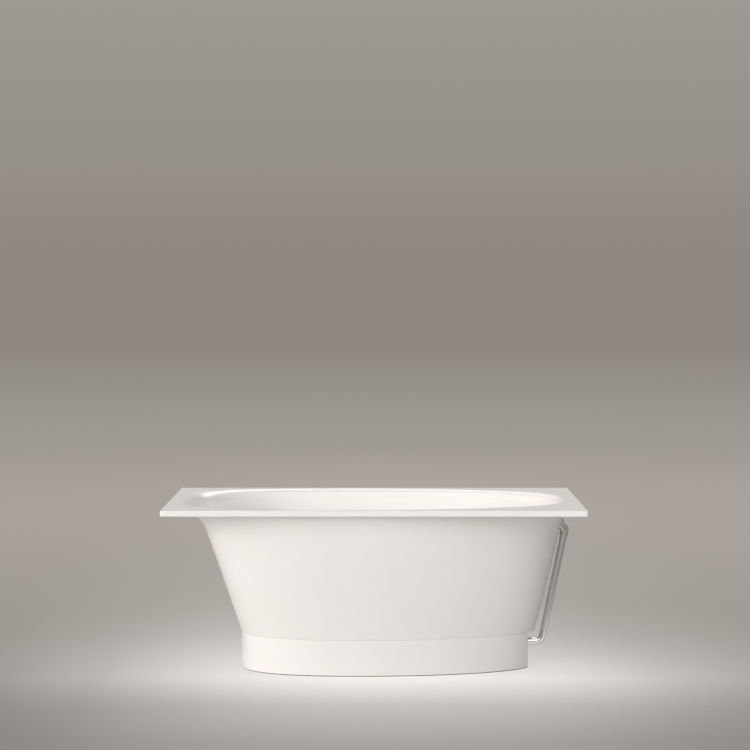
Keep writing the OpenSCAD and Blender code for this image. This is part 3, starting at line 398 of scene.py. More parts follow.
def mottle_group():
    """Uneven colour in soft patches, uneven gloss in a finer grain, and a relief from the same
    grain: what keeps a moulded, cast or plated surface from being one flat colour."""
    group = bpy.data.node_groups.new("mottle", "ShaderNodeTree")
    add_sockets(group, "INPUT", Light="Color", Dark="Color", Patch="Float", Grain="Float",
                Rough_low="Float", Rough_high="Float", Relief="Float")
    add_sockets(group, "OUTPUT", Colour="Color", Roughness="Float", Normal="Vector")
    new, link = group.nodes.new, group.links.new
    given, made = new("NodeGroupInput").outputs, new("NodeGroupOutput").inputs
    where = coordinates(group, "Object")
    noises = []
    for scale, detail in (("Patch", 4), ("Grain", 2)):
        noise = new("ShaderNodeTexNoise")
        noise.inputs["Detail"].default_value = detail
        link(where, noise.inputs["Vector"])
        link(given[scale], noise.inputs["Scale"])
        noises.append(noise.outputs["Fac"])
    patch, grain = noises
    noise_low, noise_high = 0.3, 0.7
    spread = ranged(group, patch, noise_low, noise_high).outputs["Result"]
    rough = ranged(group, grain, noise_low, noise_high)
    link(given["Rough low"], rough.inputs["To Min"])
    link(given["Rough high"], rough.inputs["To Max"])
    relief = new("ShaderNodeBump")
    link(grain, relief.inputs["Height"])
    link(given["Relief"], relief.inputs["Distance"])
    link(mixed(group, given["Light"], given["Dark"], spread), made["Colour"])
    link(rough.outputs["Result"], made["Roughness"])
    link(relief.outputs["Normal"], made["Normal"])
    return group


mottle = mottle_group()


def finish(name, light, dark, patch, grain, rough, relief, **constants):
    """A material whose colour, gloss and relief come from the mottle group, with the given
    constant values on the shader itself."""
    material = bpy.data.materials.new(name)
    material.use_nodes = True
    tree = material.node_tree
    shader = tree.nodes["Principled BSDF"]
    play = tree.nodes.new("ShaderNodeGroup")
    play.node_tree = mottle
    for label, value in (("Light", (*light, 1)), ("Dark", (*dark, 1)), ("Patch", patch),
                         ("Grain", grain), ("Rough low", rough[0]), ("Rough high", rough[1]),
                         ("Relief", relief)):
        play.inputs[label].default_value = value
    for made, label in (("Colour", "Base Color"), ("Roughness", "Roughness"), ("Normal", "Normal")):
        tree.links.new(play.outputs[made], shader.inputs[label])
    for label, value in constants.items():
        shader.inputs[label.replace("_", " ")].default_value = value
    return material


def stone_finish(name):
    """Gloss gel coat on mineral cast: a warm white that is nearly even, and a thin clear coat."""
    return finish(name, (0.900, 0.871, 0.846), (0.892, 0.861, 0.834), 5, 160, (0.285, 0.325),
                  0.000003, Coat_Weight=0.15, Coat_Roughness=0.16)


def settle(piece, material, node, body="bath"):
    """Give a piece its material, hide the CAD node it stands for and attach it to its body."""
    piece.data.materials.append(material)
    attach(piece, body)
    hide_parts(node)


settle(shell, stone_finish("cast_stone"), "bath_shell")


# The plinth is a separate cast ring of the same resin under the shell. It is cut flat at the
# drain end, where an opening at the floor lets the overflow pipe and a hand through. A step in
# its top edge makes the seam. Its toe is painted near black: a painted contact shadow.
plinth_end_x = base_drain - plinth_setback
seam_step, toe_step = 0.001, 0.003
step_z = plinth_height - seam_step
plinth_corner, plinth_ease, plinth_land = 0.0025, 0.0004, 0.002
egg_steps, flat_steps = 301, 21
access_width, access_height, access_corner = 0.104, 0.108, 0.025
access_chamfer, access_past = 0.001, 0.002
# The plinth's toe below these heights is painted near black: a painted contact shadow.
toe_shade_low, toe_shade_high = toe_step - 0.0001, toe_step + 0.0002
painted_toe_shade = (0.050, 0.047, 0.044)


def plinth_outline(inset):
    """The foot's egg cut off by a straight end. Where they meet, a short curve leaves one and
    reaches the other in the direction of the corner between them."""
    e = base_line - all_round(inset)
    end_x = plinth_end_x - inset
    meet = math.acos(((end_x - e[0]) / (e[2] - e[0])) ** (e[6] / 2))
    t = np.linspace(meet, 2 * np.pi - meet, egg_steps)
    c, s = np.cos(t), np.sin(t)
    drain = c >= 0
    x = e[0] + np.where(drain, (e[2] - e[0]) * np.abs(c) ** (2 / e[6]),
                        -(e[1] + e[0]) * np.abs(c) ** (2 / e[4]))
    y = np.sign(s) * e[3] * np.abs(s) ** (2 / np.where(drain, e[7], e[5]))
    egg = np.stack([x, y], 1)
    corner = egg[0]
    step = egg[1] - corner
    leave = corner + step / np.linalg.norm(step) * plinth_corner
    egg = egg[egg[:, 0] < leave[0]] if np.linalg.norm(step) < plinth_corner else egg[1:-1]
    f = np.linspace(0, 1, 7)[:, None]
    up = bend_curve(corner - [0, plinth_corner], corner, leave, f)
    across = np.linspace(-1, 1, flat_steps + 2)[1:-1] * (corner[1] - plinth_corner)
    flat = np.stack([np.full(flat_steps, end_x), across], 1)
    return np.concatenate([up, egg, up[::-1] * [1, -1], flat])


def plinth_rows(sections):
    return np.stack([level(plinth_outline(inset), z) for inset, z in sections])


plinth = new_piece("plinth_cast", [plinth_rows([
    (toe_step + plinth_ease, 0), (toe_step, plinth_ease), (toe_step, toe_step),
    (plinth_ease, toe_step), (0, toe_step + plinth_ease), (0, toe_step + plinth_land),
    (0, plinth_height / 2), (0, step_z - plinth_land), (0, step_z - plinth_ease),
    (plinth_ease, step_z), (seam_step, step_z), (seam_step, plinth_height - plinth_ease),
    (seam_step + plinth_ease, plinth_height), (plinth_wall - plinth_ease, plinth_height),
    (plinth_wall, plinth_height - plinth_ease), (plinth_wall, plinth_height / 2),
    (plinth_wall, plinth_ease), (plinth_wall - plinth_ease, 0)])], ring=True)


def capped(rows):
    """Rows of points with both end rows drawn in to their middles, which closes the solid."""
    low, high = (np.broadcast_to(row.mean(0), row.shape) for row in (rows[0], rows[-1]))
    return np.stack([low, *rows, high])


def access_rows():
    """The opening's outline, upright sides and two arcs over them, carried along X. Towards the
    outside it grows, which leaves a chamfer round the opening's mouth."""
    rows = []
    for x, grow in ((plinth_end_x - plinth_wall - access_past, 0),
                    (plinth_end_x - access_chamfer, 0),
                    (plinth_end_x + access_past, access_chamfer + access_past)):
        half, top, r = access_width / 2 + grow, access_height + grow, access_corner + grow
        turn = np.linspace(0, np.pi / 2, 13)
        arc = np.stack([half - r + r * np.cos(turn), top - r + r * np.sin(turn)], 1)
        outline = np.concatenate([[[half, -access_past]], arc, arc[::-1] * [-1, 1],
                                  [[-half, -access_past]]])
        rows.append(np.column_stack([np.full(len(outline), x), outline]))
    return capped(rows)


carve(plinth, "access", [access_rows()])
# Painted shade: below the toe step the plinth's colour turns near black, a painted contact shadow.
plinth_stone_toe_shade = stone_finish("plinth_stone_toe_shade")
tree = plinth_stone_toe_shade.node_tree
base_colour = tree.nodes["Principled BSDF"].inputs["Base Color"]
height = parts_of(tree, coordinates(tree, "Object"))["Z"]
clear_of_toe_shade = ranged(tree, height, toe_shade_low, toe_shade_high)
tree.links.new(mixed(tree, painted_toe_shade, base_colour.links[0].from_socket, clear_of_toe_shade.outputs["Result"]),
               base_colour)
settle(plinth, plinth_stone_toe_shade, "plinth")


# The bead is a line of white elastic sealant in the seam, which the shell beds into. It lies
# back from the plinth's face and is tooled slightly hollow.
joint_setback = 0.0008
bead_inset, bead_width, bead_hollow, bead_deep = joint_setback + seam_step, 0.016, 0.0004, 0.00052
bead = new_piece("joint_bead", [plinth_rows([
    (bead_inset, plinth_height), (bead_inset + bead_hollow, plinth_height + joint_gap / 4),
    (bead_inset + bead_deep, plinth_height + joint_gap / 2),
    (bead_inset + bead_hollow, plinth_height + joint_gap * 3 / 4), (bead_inset, seam_z),
    (bead_inset + bead_width, seam_z), (bead_inset + bead_width, plinth_height)])], ring=True)
bead_white = finish("joint_bead", (0.86, 0.85, 0.83), (0.80, 0.79, 0.76), 40, 900,
                    (0.5, 0.62), 0.00002)
settle(bead, bead_white, "joint_seal")


# Each foot is a steel stud, turned and threaded, with a spanner hexagon. It screws into a brass
# insert cast into the shell's boss, is jammed there by a lock nut, and turns in a plastic cup
# on a rubber sole.
stud_r, stud_lead, stud_top, stud_play = 0.006, 0.00175, 0.152, 0.00006
pad_top, pivot_r, pivot_length, pivot_ease = 0.024, 0.005, 0.012, 0.0005
hexagon_gap, hexagon_height, hexagon_flats = 0.0002, 0.008, 0.017
nut_height, nut_flats = 0.010, 0.019
thread_depth, thread_run_out = 0.61 * stud_lead, 1.5 * stud_lead
groove_full, groove_slope = 1.15, 2.6
stud_columns, rows_per_turn = 32, 7
cone_angle, cone_share, cone_first, cone_last = math.radians(30), 0.97, 0.0001, 0.0016


def hexagon_rows(flats, low, high, bore, columns=144):
    """A hexagonal bar whose corners are turned off by a cone of 30 degrees at both ends: the
    radius is the lesser of the hexagon's, flats / 2 over the cosine of the angle from the
    middle of a side, and the cone's at that height."""
    a = full_turn(columns)
    side = flats / 2 / np.cos((a + np.pi / 6) % (np.pi / 3) - np.pi / 6)
    drop = np.concatenate([[0], np.linspace(cone_first, cone_last, 7)])
    z = np.concatenate([low + drop, high - drop[::-1]])[:, None]
    cone = flats / 2 * cone_share + np.minimum(z - low, high - z) / math.tan(cone_angle)
    inside = turned([[bore, high], [bore, low]], columns)
    return np.concatenate([around(np.minimum(side, cone), a, z), inside])


def thread_rows(low, high):
    """A right-hand screw thread: at height z and angle a the phase is z / lead - a / turn, and
    the radius falls from the crest by the thread's depth as the phase nears a half. The thread
    runs out at its foot and is chamfered at its tip."""
    turns = (high - low) / stud_lead
    z = np.linspace(low, high, int(turns * rows_per_turn))[:, None]
    a = full_turn(stud_columns)
    phase = (z / stud_lead - a / (2 * np.pi)) % 1
    groove = np.clip(groove_full - np.abs(phase - 0.5) * groove_slope, 0, 1)
    run_out = np.clip((z - low) / thread_run_out, 0, 1)
    r = stud_r - thread_depth * groove * run_out
    return around(np.minimum(r, stud_r - thread_depth + (high - z)), a, z)


steel = finish("turned_steel", (0.62, 0.63, 0.65), (0.50, 0.51, 0.53), 60, 1800,
               (0.22, 0.38), 0.00002, Metallic=1.0)
pivot_low, hexagon_low = pad_top - pivot_length, pad_top + hexagon_gap
hexagon_high = hexagon_low + hexagon_height
stud_grids = [
    turned([[0, pivot_low], [pivot_r - pivot_ease, pivot_low], [pivot_r, pivot_low + pivot_ease],
            [pivot_r, hexagon_low], [0, hexagon_low]], stud_columns),
    hexagon_rows(hexagon_flats, hexagon_low, hexagon_high, 0),
    np.concatenate([turned([[0, hexagon_high]], stud_columns),
                    thread_rows(hexagon_high, stud_top), turned([[0, stud_top]], stud_columns)])]
for number, (x, y) in enumerate(foot_places, 1):
    stud = new_piece(f"foot_{number}_stud_threaded", [g + np.array([x, y, 0]) for g in stud_grids],
                     crease=30)
    settle(stud, steel, f"foot_stud_{number}", f"foot_{number}_stud")

nuts = new_piece("lock_nuts_chamfered", [
    hexagon_rows(nut_flats, boss_z - nut_height, boss_z, stud_r + stud_play) + np.array([x, y, 0])
    for x, y in foot_places], ring=True, crease=25)
settle(nuts, steel, "foot_lock_nuts")

brass = finish("turned_brass", (0.78, 0.58, 0.26), (0.66, 0.47, 0.20), 60, 1500,
               (0.25, 0.4), 0.00002, Metallic=1.0)
black_plastic = finish("black_plastic", (0.020, 0.020, 0.022), (0.030, 0.030, 0.032), 50, 1200,
                       (0.42, 0.55), 0.00004)
black_rubber = finish("black_rubber", (0.014, 0.014, 0.015), (0.026, 0.025, 0.025), 70, 1600,
                      (0.68, 0.85), 0.00005)


def dress(material, *names):
    """Give a CAD node its finish. Its mesh stays as it is."""
    for name in names:
        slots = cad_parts[name].data.materials
        slots.clear()
        slots.append(material)


dress(brass, "foot_inserts")
for number in range(1, 5):
    dress(black_plastic, f"foot_pad_{number}")
    dress(black_rubber, f"foot_sole_{number}")


# The waste flange is turned brass under chrome: a crowned rim in the floor's seat, a sunk dish,
# a strainer plate with five holes, and the throat below. A slotted screw in its middle pulls it
# down on its gasket.
flange_r, flange_rise, flange_z = 0.035, 0.0008, 0.1763
flange_crown, flange_edge, flange_ease = 0.002, 0.00085, 0.0008
dish_r, dish_slope, dish_depth = 0.0225, 0.0025, 0.006
strainer_thick, strainer_hole_r, strainer_pitch, strainer_holes = 0.0025, 0.004, 0.013, 5
strainer_turn = math.radians(61.5)
throat_r, throat_wall, throat_end = 0.0255, 0.0015, waste_boss_z - 0.006
waste_screw_r, bore_play, bore_ease = 0.003, 0.00005, 0.0002
hole_lip, lip_turns, hole_spacing = 0.0003, ((0.5, 0.12), (1.0, 0.46), (math.pi / 2, 1)), 1.4
strainer_top = bowl_z - dish_depth
strainer_under = strainer_top - strainer_thick
band_in, band_out = 0.0078, 0.0185
sector_columns = (8, 7, 9)


def eased(corners, ease, steps=4, closed=False):
    """Round a profile's corners: each gives way to a curve that starts a little before it and
    ends a little after it, bending towards it. An open profile keeps its two ends."""
    p = np.asarray(corners, float)

    def toward(q):
        way = q - p
        far = np.maximum(np.linalg.norm(way, axis=1, keepdims=True), 1e-9)
        return p + way / far * np.minimum(ease, 0.45 * far)

    f = np.linspace(0, 1, steps + 1)[None, :, None]
    a, b = toward(np.roll(p, 1, 0)), toward(np.roll(p, -1, 0))
    curves = bend_curve(a[:, None], p[:, None], b[:, None], f)
    if closed:
        return curves.reshape(-1, 2)
    return np.concatenate([p[:1], curves[1:-1].reshape(-1, 2), p[-1:]])


def outer_columns(columns):
    return 2 * columns[0]


def holed_band(inner, outer, pitch, hole_r, holes, turn, top, bottom, columns, place=None):
    """A ring of sheet with round holes, as one grid for each hole's sector. The sector's edge runs
    along the outer arc, in along one side, back along the inner arc and out along the other, and
    each edge point is joined straight to the point of the hole that faces it. top and bottom
    give the sheet's two heights at a radius. The hole's lip is about a quarter of a circle."""
    half = np.pi / holes
    across, side, around_hole = columns
    outer_turn = np.linspace(-half, half, outer_columns(columns) + 1)[:-1]
    inner_turn = np.linspace(half, -half, across + 1)[:-1]
    in_r = np.linspace(outer, inner, side + 1)[:-1]
    out_r = np.linspace(inner, outer, side + 1)[:-1]
    radius = np.concatenate([np.full(len(outer_turn), outer), in_r, np.full(across, inner), out_r])
    angle = np.concatenate([outer_turn, np.full(side, half), inner_turn, np.full(side, -half)])
    edge = np.stack([radius * np.cos(angle), radius * np.sin(angle)], 1)
    middle = np.array([pitch, 0])
    way = edge - middle
    way /= np.linalg.norm(way, axis=1, keepdims=True)
    f = (np.linspace(1, 0, around_hole) ** hole_spacing)[:, None, None]
    flat = (middle + way * (hole_r + hole_lip))[None] * (1 - f) + edge[None] * f
    lips = [((middle + way * (hole_r + hole_lip * (1 - math.sin(a))))[None], hole_lip * sink)
            for a, sink in lip_turns]
    plans = [(flat, top, 0), *((plan, top, drop) for plan, drop in lips),
             *((plan, bottom, -drop) for plan, drop in lips[::-1]), (flat[::-1], bottom, 0)]
    grids = []
    for k in range(holes):
        spin = turn + 2 * np.pi * k / holes
        c, s = math.cos(spin), math.sin(spin)
        rows = []
        for plan, height, drop in plans:
            z = height(np.linalg.norm(plan, axis=-1)) - drop
            x, y = plan[..., 0], plan[..., 1]
            rows.append(np.stack([x * c - y * s, x * s + y * c, z], -1))
        grids.append(placed(np.concatenate(rows), place))
    return grids


def flat_at(z):
    return lambda r: np.full_like(r, z)


waste_place = (np.eye(3), (waste_x, 0, 0))
first_column = strainer_turn - np.pi / strainer_holes
flange_rim = eased([
    [band_out, strainer_top], [dish_r, strainer_top], [dish_r + dish_slope, bowl_z + flange_rise],
    [flange_r - flange_crown, bowl_z + flange_rise], [flange_r, flange_z + flange_edge],
    [flange_r, flange_z], [throat_r, flange_z], [throat_r, throat_end],
    [throat_r - throat_wall, throat_end], [throat_r - throat_wall, strainer_under],
    [band_out, strainer_under]], flange_ease)
screw_bore = eased([
    [band_in, strainer_top], [waste_screw_r + bore_play, strainer_top],
    [waste_screw_r + bore_play, strainer_under], [band_in, strainer_under]], bore_ease)
flange = new_piece("waste_flange_chromed", holed_band(
    band_in, band_out, strainer_pitch, strainer_hole_r, strainer_holes, strainer_turn,
    flat_at(strainer_top), flat_at(strainer_under), sector_columns, waste_place) + [
        turned(flange_rim, strainer_holes * outer_columns(sector_columns), waste_place,
               first_column),
        turned(screw_bore, strainer_holes * sector_columns[0], waste_place, first_column)],
    crease=40)
chrome = finish("chrome", (0.86, 0.86, 0.86), (0.81, 0.815, 0.82), 25, 700,
                (0.045, 0.09), 0.000002, Metallic=1.0, Specular_Tint=(0.12, 0.12, 0.12, 1))
settle(flange, chrome, "waste_flange")

waste_head_r, waste_head_h, waste_shank = 0.0065, 0.0032, 0.034
slot_width, slot_depth, slot_reach, slot_above = 0.0016, 0.0012, 0.008, 0.001
shank_ease, head_ease, head_edge = 0.0005, 0.0003, 0.35


def screw_profile(head_r, head_h, shank_r, length):
    """Half section of a screw with a low domed head: shank, flat underside, short upright edge
    and a dome that is part of an ellipse, let down until it starts at the edge's share of the
    head's height."""
    a = np.linspace(math.radians(20), np.pi / 2, 12)
    dome = np.stack([head_r * np.cos(a) / math.cos(a[0]), head_h * (0.3 + 0.7 * np.sin(a))], 1)
    dome[:, 1] += head_h * (head_edge - dome[0, 1] / head_h) * np.linspace(1, 0, 12)
    return np.concatenate([
        [[0, -length], [shank_r - shank_ease, -length], [shank_r, -length + shank_ease],
         [shank_r, 0], [head_r - head_ease, 0], [head_r, head_ease]], dome[:-1], [[0, head_h]]])


screw_place = (np.eye(3), (waste_x, 0, strainer_top))
screw = new_piece("waste_screw_slotted", [turned(screw_profile(
    waste_head_r, waste_head_h, waste_screw_r, waste_shank), 64, screw_place)])
slot_low, slot_high = waste_head_h - slot_depth, waste_head_h + slot_above
slot = capped([np.array([[x, y, z] for y, z in (
    (-slot_width / 2, slot_low), (slot_width / 2, slot_low), (slot_width / 2, slot_high),
    (-slot_width / 2, slot_high))]) for x in (-slot_reach, slot_reach)])
carve(screw, "slot", [placed(slot, screw_place)])
settle(screw, steel, "waste_screw")


# Under the floor hang the moulded waste body, the trap with its nuts and cleaning plug, and the
# tail pipe down to the drain. They are white polypropylene, with black rubber rings and a brass
# bush that takes the strainer's screw.
white_plastic = finish("white_plastic", (0.84, 0.84, 0.82), (0.78, 0.78, 0.755), 30, 1100,
                       (0.34, 0.46), 0.00003)
dress(white_plastic, "waste_body", "trap_union_nut", "trap_body", "inlet_nut", "trap_plug",
      "outlet_nut", "outlet_tail")
dress(black_rubber, "waste_top_gasket", "waste_bottom_gasket", "trap_washer", "inlet_seal",
      "trap_plug_seal", "outlet_seal", "overflow_inner_gasket", "overflow_outer_gasket",
      "overflow_seal")
dress(brass, "waste_bush", "overflow_bush")


# The rosette is pressed from brass sheet and chromed: a flat edge on its gasket, a dome with
# eight holes, and a flat hub under a domed screw that holds it and the hood outside together.
inner_gasket = 0.0015
rosette_height, rosette_thick, rosette_edge, hub_r = 0.011, 0.0016, 0.006, 0.008
rosette_holes, rosette_hole_r, rosette_pitch = 8, 0.0035, 0.020
press_rise, press_round, press_ease = 0.0012, 0.0002, 0.0005
overflow_screw_r, overflow_head_r, overflow_head_h, screw_short = 0.003, 0.0075, 0.0045, 0.001


def dome_at(edge_r, height):
    """Height of the pressed dome at a radius: a quarter wave that rises steeply at the edge and
    runs level into the hub."""
    def height_at(r):
        f = np.clip((edge_r - r) / (edge_r - hub_r), 0, 1)
        return height * np.sin(np.arccos(1 - f))
    return height_at


dome_edge = rosette_r - rosette_edge
dome_top = dome_at(dome_edge, rosette_height)
dome_under = dome_at(dome_edge - rosette_thick, rosette_height - rosette_thick)
rosette_band = (0.0125, 0.0262)
rosette_columns = (6, 8, 9)
rosette_place = moved_out(inner_frame, inner_gasket)
rise_r = rosette_band[1] + (dome_edge - rosette_band[1]) * (1 - np.linspace(1, 0, 9) ** 2)
sink_r = rise_r - rosette_thick * np.linspace(0, 1, 9)
fall_r = np.linspace(rosette_band[0], hub_r, 6)
rosette_rim = np.concatenate([
    np.stack([rise_r, dome_top(rise_r)], 1)[:-1],
    eased([[dome_edge, rosette_thick + press_rise], [dome_edge + press_round, rosette_thick],
           [rosette_r, rosette_thick], [rosette_r, 0], [dome_edge - rosette_thick, 0],
           [sink_r[-2], dome_under(sink_r[-2])]], press_ease),
    np.stack([sink_r, dome_under(sink_r)], 1)[-3::-1]])
rosette_hub = np.concatenate([
    np.stack([fall_r, dome_top(fall_r)], 1),
    [[overflow_screw_r + bore_play, rosette_height],
     [overflow_screw_r + bore_play, rosette_height - rosette_thick]],
    np.stack([fall_r, dome_under(fall_r)], 1)[::-1]])
rosette = new_piece("overflow_rosette_pressed", holed_band(
    *rosette_band, rosette_pitch, rosette_hole_r, rosette_holes, np.pi / rosette_holes,
    dome_top, dome_under, rosette_columns, rosette_place) + [
        turned(rosette_rim, rosette_holes * outer_columns(rosette_columns), rosette_place),
        turned(rosette_hub, rosette_holes * rosette_columns[0], rosette_place)],
    crease=40)
settle(rosette, chrome, "overflow_rosette")

outer_gasket, hood_bar = 0.002, 0.007
bolt_length = rosette_height + inner_gasket + inner_seat + outer_gasket + hood_bar - screw_short
bolt_place = moved_out(inner_frame, inner_gasket + rosette_height)
bolt = new_piece("overflow_screw_domed", [turned(screw_profile(
    overflow_head_r, overflow_head_h, overflow_screw_r, bolt_length), 64, bolt_place)])
settle(bolt, steel, "overflow_screw")


# The hood is a chromed casting on the outside of the wall. It turns the overflow down into the
# pipe, which a collar presses on its seal.
hood_flange, hood_reach, hood_socket_r, hood_bore_r = 0.003, 0.0235, 0.014, 0.012
hood_shoulder, hood_step, socket_top, socket_cover = 0.006, 0.0005, 0.011, 0.005
hood_round, hood_neck, neck_cap, socket_ease = 0.0012, 0.010, 0.012, 0.0005
collar_drop, collar_height, collar_wall, collar_ease = 0.0357, 0.0075, 0.0015, 0.0007
seal_height = 0.0015
pipe_r, pipe_wall, pipe_bend, pipe_clear, pipe_run_z = 0.0125, 0.001, 0.028, 0.026, 0.086
pipe_entry, pipe_fit = 0.014, 0.00001
corner = moved_out(outer_frame, hood_reach)[1]
foot_corner_x = base_drain + pipe_clear
pipe_lean = math.atan((corner[0] - foot_corner_x) / (corner[2] - pipe_run_z))
corner_frame = (turn_y(pipe_lean), corner)
low_end = hood_shoulder - collar_drop
socket_end = collar_drop + socket_cover
pipe_top = collar_drop - pipe_entry


def rounded_hull(points, r, rows=72, columns=144):
    """The skin stretched round a set of points, with rounded edges: for each direction of a
    globe of rows and columns, the point that lies furthest that way, moved out by r that way."""
    polar = np.linspace(0, np.pi, rows)[:, None]
    way = around(np.sin(polar), full_turn(columns), np.cos(polar))
    return points[np.argmax(way @ points.T, -1)] + way * r


hood_points = np.concatenate([turned([[r - hood_round, z]], 160, place)[0] for r, z, place in (
    (hood_flange_r, outer_gasket + hood_round, outer_frame),
    (hood_flange_r, outer_gasket + hood_flange - hood_round, outer_frame),
    (hood_socket_r - hood_step, low_end + hood_round, corner_frame),
    (hood_socket_r - hood_step, -socket_top - hood_round, corner_frame))])
hood = new_piece("overflow_hood_cast", [rounded_hull(hood_points, hood_round)])
socket = turned(eased([
    [0, low_end + neck_cap], [hood_socket_r, low_end + hood_neck], [hood_socket_r, -socket_end],
    [0, -socket_end]], socket_ease), 96, corner_frame)
carve(hood, "socket", [socket], "UNION")
carve(hood, "bore", [rod(hood_bore_r, -cut_past, hood_reach, outer_frame)])
carve(hood, "pipe_seat", [rod(pipe_r + pipe_fit, -socket_end - cut_past, -pipe_top,
                              corner_frame)])
settle(hood, chrome, "overflow_hood")

collar_low = -collar_drop - collar_height
seat_low = -socket_end - seal_height
collar_line = eased([
    [pipe_r, collar_low], [hood_socket_r + collar_wall, collar_low],
    [hood_socket_r + collar_wall, -collar_drop], [hood_socket_r, -collar_drop],
    [hood_socket_r, seat_low], [pipe_r, seat_low]], collar_ease, closed=True)
collar = new_piece("overflow_collar_turned", [turned(collar_line, 96, corner_frame)], ring=True)
settle(collar, chrome, "overflow_collar")


# The overflow pipe is drawn brass tube, chromed: down beside the shell, one bend, and level
# through the plinth's opening to the trap's inlet.
pipe_end_x = waste_x + 0.024
leg_rings, bend_rings, run_rings, pipe_columns = 13, 33, 7, 64


def pipe_rows():
    """Rings square to a middle line of a straight leg, an arc and a level run. Each station is
    [x, z, the direction away from the arc's middle], and a ring's point stands out by radius
    cos a in that direction and radius sin a along Y. The rings go down outside, back inside."""
    bend_length = pipe_bend * math.tan((np.pi / 2 - pipe_lean) / 2)
    middle = np.array([foot_corner_x - bend_length, pipe_run_z + pipe_bend])
    leg = (corner[2] - pipe_run_z) / math.cos(pipe_lean) - bend_length - pipe_top
    turn = np.linspace(pipe_lean, np.pi / 2, bend_rings)
    out = np.stack([np.cos(turn), -np.sin(turn)], 1)
    bend = np.concatenate([middle + out * pipe_bend, out], 1)
    way = np.array([math.sin(pipe_lean), math.cos(pipe_lean)])
    leg_steps = np.linspace(1, 0, leg_rings + 1)[:-1, None] * leg
    down = np.concatenate([bend[0, :2] + way * leg_steps, np.tile(out[0], (leg_rings, 1))], 1)
    run = np.linspace(0, 1, run_rings + 1)[1:, None] * (pipe_end_x - middle[0])
    along = np.concatenate([bend[-1, :2] + run * [1, 0], np.tile(out[-1], (run_rings, 1))], 1)
    stations = np.concatenate([down, bend, along])
    a = full_turn(pipe_columns)

    def rings(part, r):
        flat = r * np.cos(a)[None, :, None] * part[:, None, 2:]
        return np.stack([part[:, None, 0] + flat[..., 0],
                         np.broadcast_to(r * np.sin(a), flat.shape[:2]),
                         part[:, None, 1] + flat[..., 1]], -1)
    return np.concatenate([rings(stations, pipe_r), rings(stations[::-1], pipe_r - pipe_wall)])


pipe = new_piece("overflow_pipe_drawn", [pipe_rows()], ring=True)
settle(pipe, chrome, "overflow_pipe")


# Studio: one plain pale floor with a backdrop of warm grey, and large soft lamps. The lit floor
# gives a quarter of what the camera sees of it, with the bath's shadow, and a glow round the bath
# as in the photograph gives the rest.
floor_pale, floor_half = (0.64, 0.625, 0.61), 60.0
floor_lit, lit_level = 0.25, 0.88
depth_reach, across_reach = (-4.5, 5.0), (-1.7, 1.7)
plain_tint, glow_tint = (1.0, 0.93, 0.85), (1.0, 0.98, 0.96)
plain_depth = [(-4.5, 0.48), (-3.2, 0.50), (-2.3, 0.46), (-1.6, 0.25), (-1.2, 0.20), (-0.7, 0.18),
               (-0.2, 0.18), (0.1, 0.28), (0.6, 0.30), (1.5, 0.35), (5.0, 0.40)]
glow_depth = [(-2.2, 0.0), (-1.2, 0.19), (-0.7, 0.43), (-0.35, 0.74), (-0.2, 0.80), (0.1, 0.47),
              (0.6, 0.30), (1.5, 0.07), (5.0, 0.03)]
glow_across = [(-1.7, 0.0), (-1.0, 0.40), (-0.55, 0.84), (-0.1, 1.0), (0.5, 0.94), (1.0, 0.51),
               (1.7, 0.12)]
backdrop_low, backdrop_high = (0.262, 0.240, 0.214), (0.345, 0.332, 0.300)
backdrop_tones = [(0.0, backdrop_low), (0.35, (0.292, 0.266, 0.238)), (1.0, backdrop_high)]
backdrop_rise = 0.14
haze_tones = [(0.0, (0.375, 0.350, 0.314)), (0.2, (0.355, 0.328, 0.300)),
              (0.5, (0.314, 0.292, 0.262)), (1.0, backdrop_low)]
haze_start, fade_end, haze_end = 4.0, 9.0, 30.0
floor_mesh = bpy.data.meshes.new("floor")
floor_mesh.from_pydata([(x * floor_half, y * floor_half, 0) for x, y in (
    (-1, -1), (1, -1), (1, 1), (-1, 1))], [], [(0, 1, 2, 3)])
floor = new_object("floor", floor_mesh)


def worked_out(tree, operation, *values):
    """A Math node of one operation, its inputs set or linked to other nodes."""
    node = tree.nodes.new("ShaderNodeMath")
    node.operation = operation
    for value, socket in zip(values, node.inputs):
        feed(tree, socket, value)
    return node.outputs[0]


def background_rays(tree):
    """One where a ray from the camera, a reflection or a clear piece meets a surface."""
    path = tree.nodes.new("ShaderNodeLightPath").outputs
    seen = worked_out(tree, "MAXIMUM", path["Is Camera Ray"], path["Is Glossy Ray"])
    return worked_out(tree, "MAXIMUM", seen, path["Is Transmission Ray"])


def ramp_of(tree, value, stops):
    """A smooth run of colours along a value, through stops of [position, colour]."""
    ramp = tree.nodes.new("ShaderNodeValToRGB")
    ramp.color_ramp.interpolation = "B_SPLINE"
    elements = ramp.color_ramp.elements
    for position, _ in stops[1:-1]:
        elements.new(position)
    for element, (position, colour) in zip(elements, stops):
        element.position, element.color = position, (*colour, 1)
    tree.links.new(value, ramp.inputs["Fac"])
    return ramp.outputs["Color"]


def mix_surface(tree, share, first, second, output):
    """Send two shaders, mixed by the share of the second, to the tree's output."""
    both = tree.nodes.new("ShaderNodeMixShader")
    for source, socket in zip((share, first, second), both.inputs):
        tree.links.new(source, socket)
    tree.links.new(both.outputs["Shader"], tree.nodes[output].inputs["Surface"])


